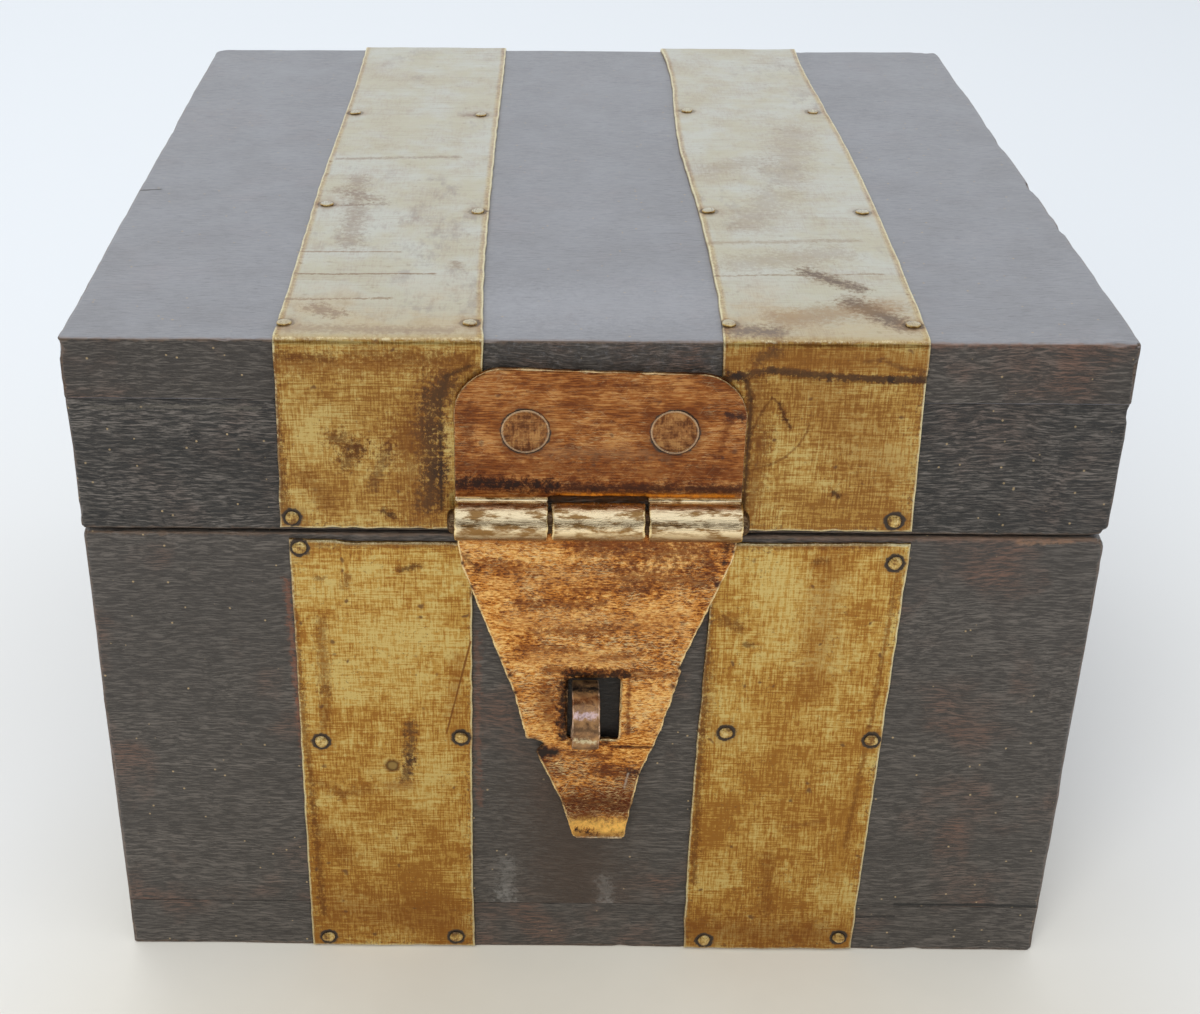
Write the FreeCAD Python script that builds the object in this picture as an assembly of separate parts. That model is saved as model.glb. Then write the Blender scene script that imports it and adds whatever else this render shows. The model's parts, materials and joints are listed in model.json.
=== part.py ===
import FreeCAD, Part
import math
import os

# Brass-strapped wooden box with a hinged lid and a hasp and staple.
# Millimetres. +Z is up, the front faces -Y, and the origin is the middle of the underside.

# Whole box, measured over the wood
box_width = 203.0
box_depth = 202.6
box_height = 148.6
lid_height = 41.2
seam_gap = 0.5
board = 12.6
case_inset = 0.35

# Eased edges of the wood
arris = 0.5
joint_arris = 0.22
lid_arris = 1.0
seam_end_arris = 1.6
front_corner_radius = 1.4
back_corner_radius = 3.6

# Clearances and overruns
fit_gap = 0.05
running_gap = 0.06
body_gap = 0.3
overrun = 2.0
tolerance = 0.001

# Brass straps: sheet, widths, and where the pair stands
strap_sheet = 0.8
lid_strap_width = 39.2
lid_strap_spacing = 83.8
lid_strap_shift = 0.8
lid_strap_lift = 0.9
case_strap_width = 37.4
case_strap_spacing = 84.4
case_strap_shift = 0.1
case_strap_drop = 1.1
case_strap_foot = 0.5

# Hand-cut strap edges. Each row: share of the run, then the drift of the left and the right
# edge as shares of the strap's width.
lid_left_front_shares = ((0.0, -0.005, 0.003), (0.5, -0.013, 0.005), (1.0, -0.026, 0.008))
lid_right_front_shares = ((0.0, 0.003, -0.008), (0.5, 0.010, -0.005), (1.0, 0.010, 0.010))
lid_left_top_shares = (
    (0.0, -0.005, 0.003), (0.2, 0.003, -0.010), (0.4, 0.003, 0.000),
    (0.6, 0.018, 0.013), (0.8, 0.036, 0.033), (1.0, 0.038, 0.048),
)
lid_right_top_shares = (
    (0.0, 0.003, -0.008), (0.2, 0.028, 0.013), (0.4, 0.015, 0.026),
    (0.6, -0.005, 0.018), (0.8, 0.033, -0.013), (1.0, 0.018, -0.018),
)
case_left_front_shares = (
    (0.0, 0.009, -0.015), (0.25, 0.009, -0.020), (0.5, 0.013, -0.018), (1.0, 0.017, -0.007),
)
case_right_front_shares = (
    (0.0, -0.021, -0.016), (0.25, -0.029, -0.004), (0.5, -0.020, 0.014),
    (0.75, -0.003, 0.030), (1.0, 0.011, 0.048),
)

# Domed tacks, and their places as shares of the strap's width and of the run
tack_head_radius = 1.45
tack_dome = 0.5
tack_shank_radius = 0.6
tack_length = 9.0
tack_point = 1.6
lid_left_top_tack_shares = (
    (0.036, 0.029), (0.934, 0.031), (0.079, 0.355), (0.931, 0.334), (0.094, 0.690), (0.906, 0.684),
)
lid_right_top_tack_shares = (
    (0.046, 0.033), (0.934, 0.033), (0.079, 0.340), (0.934, 0.338), (0.097, 0.705), (0.908, 0.702),
)
lid_left_front_tack_shares = ((0.041, 0.080),)
lid_right_front_tack_shares = ((0.911, 0.085),)
lid_back_tack_shares = ((0.12, 0.52), (0.88, 0.50))
case_left_front_tack_shares = (
    (0.074, 0.972), (0.132, 0.531), (0.918, 0.543), (0.108, 0.028), (0.873, 0.031),
)
case_right_front_tack_shares = (
    (0.972, 0.948), (0.142, 0.560), (0.957, 0.545), (0.099, 0.028), (0.901, 0.038),
)
case_back_tack_shares = (
    (0.12, 0.880), (0.89, 0.872), (0.10, 0.485), (0.91, 0.492), (0.11, 0.036), (0.88, 0.034),
)

# Small pins driven flush into the straps
flush_pin_radius = 1.0
flush_pin_length = 8.0
flush_pin_sink = 0.1
lid_left_flush_shares = ((0.541, 0.080),)
lid_right_flush_shares = ((0.658, 0.223),)
case_left_flush_shares = ((0.523, 0.475),)

# Strap hinges at the back
hinge_outer_radius = 2.6
hinge_pin_proud = 0.9
knuckle_gap = 0.5

# Nails that hold the bottom board, as shares of the half width or half depth inside the corners
nail_radius = 0.9
nail_head_radius = 2.0
nail_head = 0.8
nail_length = 32.0
nail_recess = 0.3
nail_row_shares = (-0.82, 0.0, 0.82)

# Hasp plate on the lid
hasp_sheet = 1.4
hasp_centre = 0.75
hasp_width = 55.8
hasp_barrel_radius = 3.85
hasp_axis_above_seam = 5.05
hasp_plate_rise = 31.3
hasp_plate_tilt = 0.9
hasp_plate_corner_run = 10.4
hasp_plate_corner_drop = 8.8
hasp_plate_corner_bulge = 2.0
hasp_pin_proud = 1.3

# Flush rivets through the plate and the rail behind it
rivet_head_radius = 4.7
rivet_shank_radius = 2.2
rivet_dish = 0.18
rivet_spacing = 28.4
rivet_above_axis = 18.2
rivet_tail_radius = 3.7
rivet_tail = 1.0

# Hasp leaf: length below its shoulders, and its outline as shares of half its width and length
leaf_length = 73.8
leaf_left_shares = (
    (-1.0, 0.0), (-0.96, 0.10), (-0.674, 0.418), (-0.597, 0.496), (-0.494, 0.665),
    (-0.345, 0.682), (-0.421, 0.711), (-0.226, 0.886), (-0.128, 1.0),
)
leaf_right_shares = (
    (1.0, 0.0), (0.97, 0.08), (0.816, 0.236), (0.632, 0.424), (0.650, 0.436), (0.584, 0.543),
    (0.515, 0.647), (0.382, 0.784), (0.277, 1.0),
)
leaf_tip_radius = 0.8
lip_radius = 7.5
lip_angle = 42.0
slot_play_left = 0.6
slot_play_right = 4.1
slot_play_below = 0.45
slot_play_above = 1.9
slot_corner_radius = 0.6

# Staple: a bent strip whose legs pass through the front board and are turned over inside
staple_strip = 1.6
staple_width = 5.8
staple_height = 12.8
staple_reach = 11.0
staple_across = -0.7
staple_below_shoulder = 42.3
staple_clinch = 8.0
staple_hole_gap = 0.12

# Worked out from the sizes above
half_width = box_width / 2
half_depth = box_depth / 2
lid_bottom = box_height - lid_height
case_height = lid_bottom - seam_gap
case_half_width = half_width - case_inset
seam_middle = case_height + seam_gap / 2
hinge_axis_y = half_depth + body_gap + hinge_outer_radius
hinge_bore_radius = hinge_outer_radius - strap_sheet
hasp_axis_y = -half_depth - strap_sheet - hasp_barrel_radius
hasp_axis_z = lid_bottom + hasp_axis_above_seam
hasp_bore_radius = hasp_barrel_radius - hasp_sheet
plate_back_y = -half_depth - strap_sheet
leaf_back_y = plate_back_y - body_gap
leaf_top = hasp_axis_z - hasp_barrel_radius - body_gap
staple_centre_height = leaf_top - staple_below_shoulder

X = FreeCAD.Vector(1, 0, 0)
Y = FreeCAD.Vector(0, 1, 0)
Z = FreeCAD.Vector(0, 0, 1)


def point(x, y, z):
    """A point or a shift."""
    return FreeCAD.Vector(x, y, z)


def block(x, y, z):
    """A box between the low and high ends of each pair."""
    size = (x[1] - x[0], y[1] - y[0], z[1] - z[0])
    return Part.makeBox(*size, point(x[0], y[0], z[0]))


def rod(radius, x):
    """A round bar along X, on the X axis, between two ends."""
    return Part.makeCylinder(radius, x[1] - x[0], point(x[0], 0, 0), X)


def polygon_face(points):
    """A flat face with straight sides."""
    return Part.Face(Part.makePolygon(points + points[:1]))


def same(a, b):
    """Whether two lengths agree."""
    return abs(a - b) < tolerance


def ease(shape, radius, chosen):
    """Round the edges for which chosen(edge's bounding box) is true."""
    edges = [edge for edge in shape.Edges if chosen(edge.BoundBox)]
    return shape.makeFillet(radius, edges)


def upright_edge(box, x, y):
    """Whether an edge stands upright at (x, y)."""
    return same(box.XMin, x) and same(box.XMax, x) and same(box.YMin, y) and same(box.YMax, y)


def level_edge(box, z, inner_y=None):
    """Whether an edge lies at height z, and not along the inner line y = inner_y."""
    level = same(box.ZMin, z) and same(box.ZMax, z)
    inner = inner_y is not None and same(box.YMin, inner_y) and same(box.YMax, inner_y)
    return level and not inner


def end_wall(half_x, side, z, upper, lower):
    """A front (side -1) or back (side 1) board of the full width, with its edges eased."""
    outer = side * half_depth
    inner = side * (half_depth - board)
    wall = block((-half_x, half_x), sorted((outer, inner)), z)
    corner = front_corner_radius if side < 0 else back_corner_radius
    wall = ease(wall, corner, lambda box: upright_edge(box, half_x, outer) or upright_edge(box, -half_x, outer))
    wall = ease(wall, upper, lambda box: level_edge(box, z[1], inner))
    return ease(wall, lower, lambda box: level_edge(box, z[0], inner))


def side_wall(half_x, side, z, upper, lower):
    """A left (side -1) or right (side 1) board that stands between the front and back boards."""
    outer = side * half_x
    inner = side * (half_x - board)
    wall = block(sorted((outer, inner)), (board - half_depth, half_depth - board), z)

    def outer_edge(box, height):
        return level_edge(box, height) and same(box.XMin, outer) and same(box.XMax, outer)

    wall = ease(wall, upper, lambda box: outer_edge(box, z[1]))
    return ease(wall, lower, lambda box: outer_edge(box, z[0]))


def flat_board(half_x, z, upper, lower):
    """A board of the full width and depth, with its corners and outer edges eased."""
    plank = block((-half_x, half_x), (-half_depth, half_depth), z)

    def corner(box, y):
        return upright_edge(box, half_x, y) or upright_edge(box, -half_x, y)

    plank = ease(plank, front_corner_radius, lambda box: corner(box, -half_depth))
    plank = ease(plank, back_corner_radius, lambda box: corner(box, half_depth))
    plank = ease(plank, upper, lambda box: level_edge(box, z[1]))
    return ease(plank, lower, lambda box: level_edge(box, z[0]))


def revolved(profile):
    """A solid turned about Z from edges of a closed profile in the XZ plane."""
    return Part.Face(Part.Wire(profile)).revolve(point(0, 0, 0), Z, 360)


def tack():
    """A domed tack that points down, with the underside of its head at the origin."""
    rim = point(tack_head_radius, 0, 0)
    crown = point(0, 0, tack_dome)
    middle = point(tack_head_radius * 0.6, 0, tack_dome * 0.75)
    shoulder = point(tack_shank_radius, 0, 0)
    waist = point(tack_shank_radius, 0, tack_point - tack_length)
    tip = point(0, 0, -tack_length)
    lines = [(rim, shoulder), (shoulder, waist), (waist, tip), (tip, crown)]
    edges = [Part.LineSegment(a, b).toShape() for a, b in lines]
    edges.append(Part.Arc(crown, middle, rim).toShape())
    return revolved(edges)


def placed(shape, place, outward):
    """A copy of a shape whose +Z is turned outward and whose origin is moved to a place."""
    moved = shape.copy()
    moved.Placement = FreeCAD.Placement(place, FreeCAD.Rotation(Z, outward))
    return moved


def drilled(shape, places, outward, radius, depth):
    """A shape with a round hole sunk at each place, against the outward direction."""
    for place in places:
        shape = shape.cut(Part.makeCylinder(radius, depth + overrun, place - outward * depth, outward))
    return shape


def tack_holed(shape, places, outward):
    """A shape with the holes of the tacks at these places."""
    depth = tack_length + fit_gap
    return drilled(shape, places, outward, tack_shank_radius + fit_gap, depth)


def pin_holed(shape, places, outward):
    """A shape with the holes of the flush pins at these places."""
    depth = flush_pin_sink + flush_pin_length + fit_gap
    return drilled(shape, places, outward, flush_pin_radius + fit_gap, depth)


def flush_pin(place, outward):
    """A plain pin whose end lies just below the face of the strap."""
    start = place - outward * (flush_pin_sink + flush_pin_length)
    return Part.makeCylinder(flush_pin_radius, flush_pin_length, start, outward)


def strap_edge(centre, width, drift_share, side):
    """The x of a strap's edge, on the left (side -1) or the right (side 1)."""
    return centre + side * width / 2 + drift_share * width


def strap_panel(centre, width, start, run, shares, push):
    """A flat stretch of strap with hand-cut edges, from start along run, as thick as push."""
    left = [start + run * row[0] + X * strap_edge(centre, width, row[1], -1) for row in shares]
    right = [start + run * row[0] + X * strap_edge(centre, width, row[2], 1) for row in shares]
    edges = []
    for side in (left, right):
        curve = Part.BSplineCurve()
        curve.interpolate(side)
        edges.append(curve.toShape())
    edges.append(Part.LineSegment(left[0], right[0]).toShape())
    edges.append(Part.LineSegment(left[-1], right[-1]).toShape())
    wire = Part.Wire(Part.__sortEdges__(edges))
    return Part.Face(wire).extrude(push)


def strap_bend(x, side):
    """The strap's bend over the lid's upper front (side -1) or back (side 1) edge."""
    centre = point(0, side * (half_depth - lid_arris), box_height - lid_arris)
    ring = rod(lid_arris + strap_sheet, x).cut(rod(lid_arris, x))
    ring.translate(centre)
    reach = lid_arris + strap_sheet + overrun
    y = sorted((centre.y, centre.y + side * reach))
    return ring.common(block(x, y, (centre.z, centre.z + reach)))


def knuckle_spans(x):
    """The outer left, middle and outer right knuckles of a three-knuckle hinge."""
    width = (x[1] - x[0] - 2 * knuckle_gap) / 3
    starts = [x[0] + turn * (width + knuckle_gap) for turn in range(3)]
    return [(start, start + width) for start in starts]


def knuckle(span, y, z, outer_radius):
    """A solid round knuckle, still without its bore."""
    body = rod(outer_radius, span)
    body.translate(point(0, y, z))
    return body


def bored(shape, x, y, z, radius):
    """A shape with a hinge pin's bore along X."""
    bore = rod(radius, (x[0] - overrun, x[1] + overrun))
    bore.translate(point(0, y, z))
    return shape.cut(bore)


def hinge_pin(x, y, z, bore_radius, proud):
    """A pin through the knuckles, with its ends rounded over outside them."""
    radius = bore_radius - running_gap
    pin = rod(radius, (x[0] - proud, x[1] + proud))
    pin = pin.makeFillet(radius / 2, [edge for edge in pin.Edges if same(edge.BoundBox.XLength, 0)])
    pin.translate(point(0, y, z))
    return pin


def back_span(centre, shares):
    """The strap's left and right edges where it reaches the back of the lid."""
    last = shares[-1]
    edges = ((last[1], -1), (last[2], 1))
    return tuple(strap_edge(centre, lid_strap_width, drift, side) for drift, side in edges)


def lid_strap(centre, front_shares, top_shares):
    """One strap down the front, over the top and down the back, with its two hinge knuckles."""
    first = top_shares[0]
    front = tuple(strap_edge(centre, lid_strap_width, first[1 + end], (-1, 1)[end]) for end in (0, 1))
    back = back_span(centre, top_shares)
    flat_run = box_depth - 2 * lid_arris
    drop = lid_height - lid_arris - lid_strap_lift
    upper = box_height - lid_arris
    top = strap_panel(
        centre, lid_strap_width, point(0, lid_arris - half_depth, box_height), Y * flat_run,
        top_shares, Z * strap_sheet,
    )
    face = strap_panel(
        centre, lid_strap_width, point(0, -half_depth, upper), Z * -drop, front_shares, Y * -strap_sheet,
    )
    rear = block(back, (half_depth, half_depth + strap_sheet), (seam_middle, upper))
    strap = top.fuse([strap_bend(front, -1), strap_bend(back, 1), face, rear])
    spans = knuckle_spans(back)
    for span in (spans[0], spans[2]):
        strap = strap.fuse(knuckle(span, hinge_axis_y, seam_middle, hinge_outer_radius))
    middle = (spans[1][0] - knuckle_gap, spans[1][1] + knuckle_gap)
    notch_top = seam_middle + hinge_outer_radius + body_gap
    strap = strap.cut(block(middle, (half_depth - overrun, half_depth + overrun), (case_height, notch_top)))
    return bored(strap, back, hinge_axis_y, seam_middle, hinge_bore_radius).removeSplitter()


def case_front_strap(centre, shares):
    """One strap down the front of the case."""
    run = case_height - case_strap_drop - case_strap_foot
    start = point(0, -half_depth, case_strap_foot)
    return strap_panel(centre, case_strap_width, start, Z * run, shares, Y * -strap_sheet)


def case_back_strap(span):
    """One strap up the back of the case, with the middle knuckle of its hinge."""
    y = (half_depth, half_depth + strap_sheet)
    strap = block(span, y, (case_strap_foot, seam_middle))
    spans = knuckle_spans(span)
    shoulder = seam_middle - hinge_outer_radius - body_gap
    for low, high in ((span[0] - overrun, spans[1][0]), (spans[1][1], span[1] + overrun)):
        away = block((low, high), (y[0] - overrun, y[1] + overrun), (shoulder, case_height + overrun))
        strap = strap.cut(away)
    strap = strap.fuse(knuckle(spans[1], hinge_axis_y, seam_middle, hinge_outer_radius))
    return bored(strap, span, hinge_axis_y, seam_middle, hinge_bore_radius).removeSplitter()


def face_places(left, width, low, height, y, shares):
    """Points on an upright face from shares of a strap's width and of a height."""
    return [point(left + width * across, y, low + height * up) for across, up in shares]


def top_places(left, shares):
    """Points on the lid's straps from shares of a strap's width and of the lid's depth."""
    z = box_height + strap_sheet
    return [
        point(left + lid_strap_width * across, box_depth * along - half_depth, z)
        for across, along in shares
    ]


def plate_outline():
    """The hasp plate's upper outline, from the lower left round to the lower right."""
    left = hasp_centre - hasp_width / 2
    right = hasp_centre + hasp_width / 2
    high_left = hasp_axis_z + hasp_plate_rise
    high_right = high_left - hasp_plate_tilt
    run = hasp_plate_corner_run
    drop = hasp_plate_corner_drop
    bulge = hasp_plate_corner_bulge
    y = plate_back_y

    def corner(x, z, side):
        low = point(x, y, z - drop)
        high = point(x - side * run, y, z)
        middle = (low + high) * 0.5 + point(side * bulge, 0, bulge)
        return low, middle, high

    rise = corner(left, high_left, -1)
    fall = corner(right, high_right, 1)
    foot_left = point(left, y, hasp_axis_z)
    foot_right = point(right, y, hasp_axis_z)
    lines = [(foot_left, rise[0]), (rise[2], fall[2]), (fall[0], foot_right), (foot_right, foot_left)]
    edges = [Part.LineSegment(a, b).toShape() for a, b in lines]
    edges += [Part.Arc(*rise).toShape(), Part.Arc(*fall).toShape()]
    return Part.Wire(Part.__sortEdges__(edges))


def hasp_spans():
    """The three knuckles of the hasp's hinge."""
    return knuckle_spans((hasp_centre - hasp_width / 2, hasp_centre + hasp_width / 2))


def rivet_places():
    """Where the rivets meet the plate's front face."""
    y = plate_back_y - hasp_sheet
    z = hasp_axis_z + rivet_above_axis
    return [point(hasp_centre + side * rivet_spacing / 2, y, z) for side in (-1, 1)]


def rivet():
    """A rivet with a flush tapered head, dished a little, and a tail spread inside the rail."""
    neck = strap_sheet + board
    head = hasp_sheet - fit_gap
    dish = point(0, 0, -rivet_dish)
    rim = point(rivet_head_radius, 0, 0)
    middle = point(rivet_head_radius * 0.55, 0, -rivet_dish * 0.7)
    corners = [
        rim,
        point(rivet_shank_radius, 0, -head),
        point(rivet_shank_radius, 0, -hasp_sheet - neck),
        point(rivet_tail_radius, 0, -hasp_sheet - neck),
        point(rivet_shank_radius, 0, -hasp_sheet - neck - rivet_tail),
        point(0, 0, -hasp_sheet - neck - rivet_tail),
        dish,
    ]
    edges = [Part.LineSegment(a, b).toShape() for a, b in zip(corners, corners[1:])]
    edges.append(Part.Arc(dish, middle, rim).toShape())
    return revolved(edges)


def hasp_plate():
    """The plate on the lid, with its two outer knuckles and tapered rivet holes."""
    plate = Part.Face(plate_outline()).extrude(Y * -hasp_sheet)
    spans = hasp_spans()
    for span in (spans[0], spans[2]):
        plate = plate.fuse(knuckle(span, hasp_axis_y, hasp_axis_z, hasp_barrel_radius))
    middle = (spans[1][0] - knuckle_gap, spans[1][1] + knuckle_gap)
    notch_top = hasp_axis_z + hasp_barrel_radius + body_gap
    notch = block(middle, (plate_back_y - hasp_sheet - overrun, plate_back_y + overrun), (leaf_top, notch_top))
    plate = plate.cut(notch)
    taper = (rivet_head_radius - rivet_shank_radius) / hasp_sheet
    for place in rivet_places():
        hole = Part.makeCone(
            rivet_head_radius + fit_gap + taper * overrun, rivet_shank_radius + fit_gap - taper * fit_gap,
            hasp_sheet + overrun + fit_gap, place - Y * overrun, Y,
        )
        plate = plate.cut(hole)
    x = (spans[0][0], spans[2][1])
    return bored(plate, x, hasp_axis_y, hasp_axis_z, hasp_bore_radius).removeSplitter()


def leaf_places(shares):
    """Points of the leaf's outline, from shares of half its width and of its length."""
    half = hasp_width / 2
    y = leaf_back_y + overrun
    return [point(hasp_centre + half * across, y, leaf_top - leaf_length * down) for across, down in shares]


def leaf_profile():
    """The leaf's side view: a flat sheet whose foot curls outward as a lifting lip."""
    angle = math.radians(lip_angle)
    foot = leaf_top - leaf_length + lip_radius * math.sin(angle)
    front = leaf_back_y - hasp_sheet
    centre_y = front - lip_radius

    def on_lip(radius, turn):
        return point(0, centre_y + radius * math.cos(turn), foot - radius * math.sin(turn))

    inner = [on_lip(lip_radius, turn) for turn in (0, angle / 2, angle)]
    outer = [on_lip(lip_radius + hasp_sheet, turn) for turn in (0, angle / 2, angle)]
    top_front = point(0, front, hasp_axis_z)
    top_back = point(0, leaf_back_y, hasp_axis_z)
    lines = [(top_front, inner[0]), (inner[2], outer[2]), (outer[0], top_back), (top_back, top_front)]
    edges = [Part.LineSegment(a, b).toShape() for a, b in lines]
    edges += [Part.Arc(*inner).toShape(), Part.Arc(*outer).toShape()]
    return Part.Wire(Part.__sortEdges__(edges))


def hasp_leaf():
    """The hanging leaf with its middle knuckle, its slot for the staple and its lip."""
    spans = hasp_spans()
    left = spans[0][0]
    width = spans[2][1] - left
    sheet = Part.Face(leaf_profile())
    sheet.translate(X * left)
    sheet = sheet.extrude(X * width)
    reach = hasp_sheet + lip_radius + 2 * overrun
    outline = leaf_places(leaf_left_shares) + leaf_places(leaf_right_shares)[::-1]
    outer = polygon_face(outline).extrude(Y * -reach)
    tips = (outline[len(leaf_left_shares) - 1], outline[len(leaf_left_shares)])
    outer = ease(outer, leaf_tip_radius, lambda box: any(
        same(box.XMin, tip.x) and same(box.XMax, tip.x) and same(box.ZMin, tip.z) and same(box.ZMax, tip.z)
        for tip in tips
    ))
    leaf = sheet.common(outer)
    neck = block(spans[1], (leaf_back_y - hasp_sheet, leaf_back_y), (leaf_top - hasp_sheet, hasp_axis_z))
    leaf = leaf.fuse([neck, knuckle(spans[1], hasp_axis_y, hasp_axis_z, hasp_barrel_radius)])
    slot_x = (
        staple_across - staple_width / 2 - slot_play_left, staple_across + staple_width / 2 + slot_play_right,
    )
    slot_z = (
        staple_centre_height - staple_height / 2 - slot_play_below,
        staple_centre_height + staple_height / 2 + slot_play_above,
    )
    slot = block(slot_x, (leaf_back_y - hasp_sheet - overrun, leaf_back_y + overrun), slot_z)
    slot = slot.makeFillet(slot_corner_radius, [e for e in slot.Edges if not same(e.BoundBox.YLength, 0)])
    leaf = leaf.cut(slot)
    return bored(leaf, spans[1], hasp_axis_y, hasp_axis_z, hasp_bore_radius).removeSplitter()


def staple_profile(grow):
    """The staple's side view, grown all round by a clearance: arch, two legs and their clinches."""
    x = (staple_across - staple_width / 2 - grow, staple_across + staple_width / 2 + grow)
    outer = staple_height / 2 + grow
    inner = staple_height / 2 - staple_strip - grow
    arch_y = -half_depth - staple_reach + staple_height / 2
    inside = board - half_depth
    arch = rod(outer, x).cut(rod(inner, x))
    arch = arch.common(block(x, (-outer - overrun, 0), (-outer - overrun, outer + overrun)))
    arch.translate(point(0, arch_y, staple_centre_height))
    pieces = [arch]
    for side in (-1, 1):
        leg = sorted((staple_centre_height + side * inner, staple_centre_height + side * outer))
        pieces.append(block(x, (arch_y, inside), leg))
    return pieces


def staple_clinches():
    """The ends of the staple's legs, turned up and down flat against the inside of the board."""
    x = (staple_across - staple_width / 2, staple_across + staple_width / 2)
    inside = board - half_depth
    pieces = []
    for side in (-1, 1):
        near = staple_centre_height + side * (staple_height / 2 - staple_strip)
        far = near + side * staple_clinch
        z = sorted((near, far))
        pieces.append(block(x, (inside, inside + staple_strip), z))
    return pieces


def hasp_staple():
    """The whole staple as one bent strip."""
    pieces = staple_profile(0) + staple_clinches()
    staple = pieces[0].fuse(pieces[1:]).removeSplitter()
    bend = staple_strip / 2
    inner_face = board - half_depth + staple_strip

    def clinch_bend(box):
        height = abs(box.ZMin - staple_centre_height)
        along_x = same(box.ZMin, box.ZMax) and same(box.YMin, box.YMax)
        at_bend = same(box.YMin, inner_face) and same(height, staple_height / 2 - staple_strip)
        return along_x and at_bend

    return ease(staple, bend, clinch_bend)


def staple_holed(wall):
    """The front board with the two holes for the staple's legs."""
    for leg in staple_profile(staple_hole_gap)[1:]:
        box = leg.BoundBox
        y = (-half_depth - overrun, board - half_depth + overrun)
        wall = wall.cut(block((box.XMin, box.XMax), y, (box.ZMin, box.ZMax)))
    return wall


def bottom_nail():
    """A nail that points up from the underside, with a flat head, its face at the origin."""
    head = Part.makeCylinder(nail_head_radius, nail_head, point(0, 0, 0), Z)
    shank = Part.makeCylinder(nail_radius, nail_length, point(0, 0, 0), Z)
    return head.fuse(shank).removeSplitter()


def nail_places():
    """Where the nails go up through the bottom board into the middle of each wall."""
    x = case_half_width - board / 2
    y = half_depth - board / 2
    places = []
    for share in nail_row_shares:
        for side in (-1, 1):
            places.append(point((x - board) * share, side * y, nail_recess))
            places.append(point(side * x, (y - board) * share, nail_recess))
    return places


def nail_holed(shape):
    """A board with the holes of the bottom nails."""
    for place in nail_places():
        below = point(place.x, place.y, -overrun)
        head = Part.makeCylinder(nail_head_radius + fit_gap, nail_recess + nail_head + overrun, below, Z)
        shank = Part.makeCylinder(nail_radius + fit_gap, nail_recess + nail_length + fit_gap + overrun, below, Z)
        shape = shape.cut(head.fuse(shank))
    return shape


def rivet_holed(rail):
    """The lid's front rail with the holes of the hasp plate's rivets."""
    for place in rivet_places():
        start = point(place.x, -half_depth - overrun, place.z)
        rail = rail.cut(Part.makeCylinder(rivet_shank_radius + fit_gap, board + 2 * overrun, start, Y))
    return rail


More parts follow.
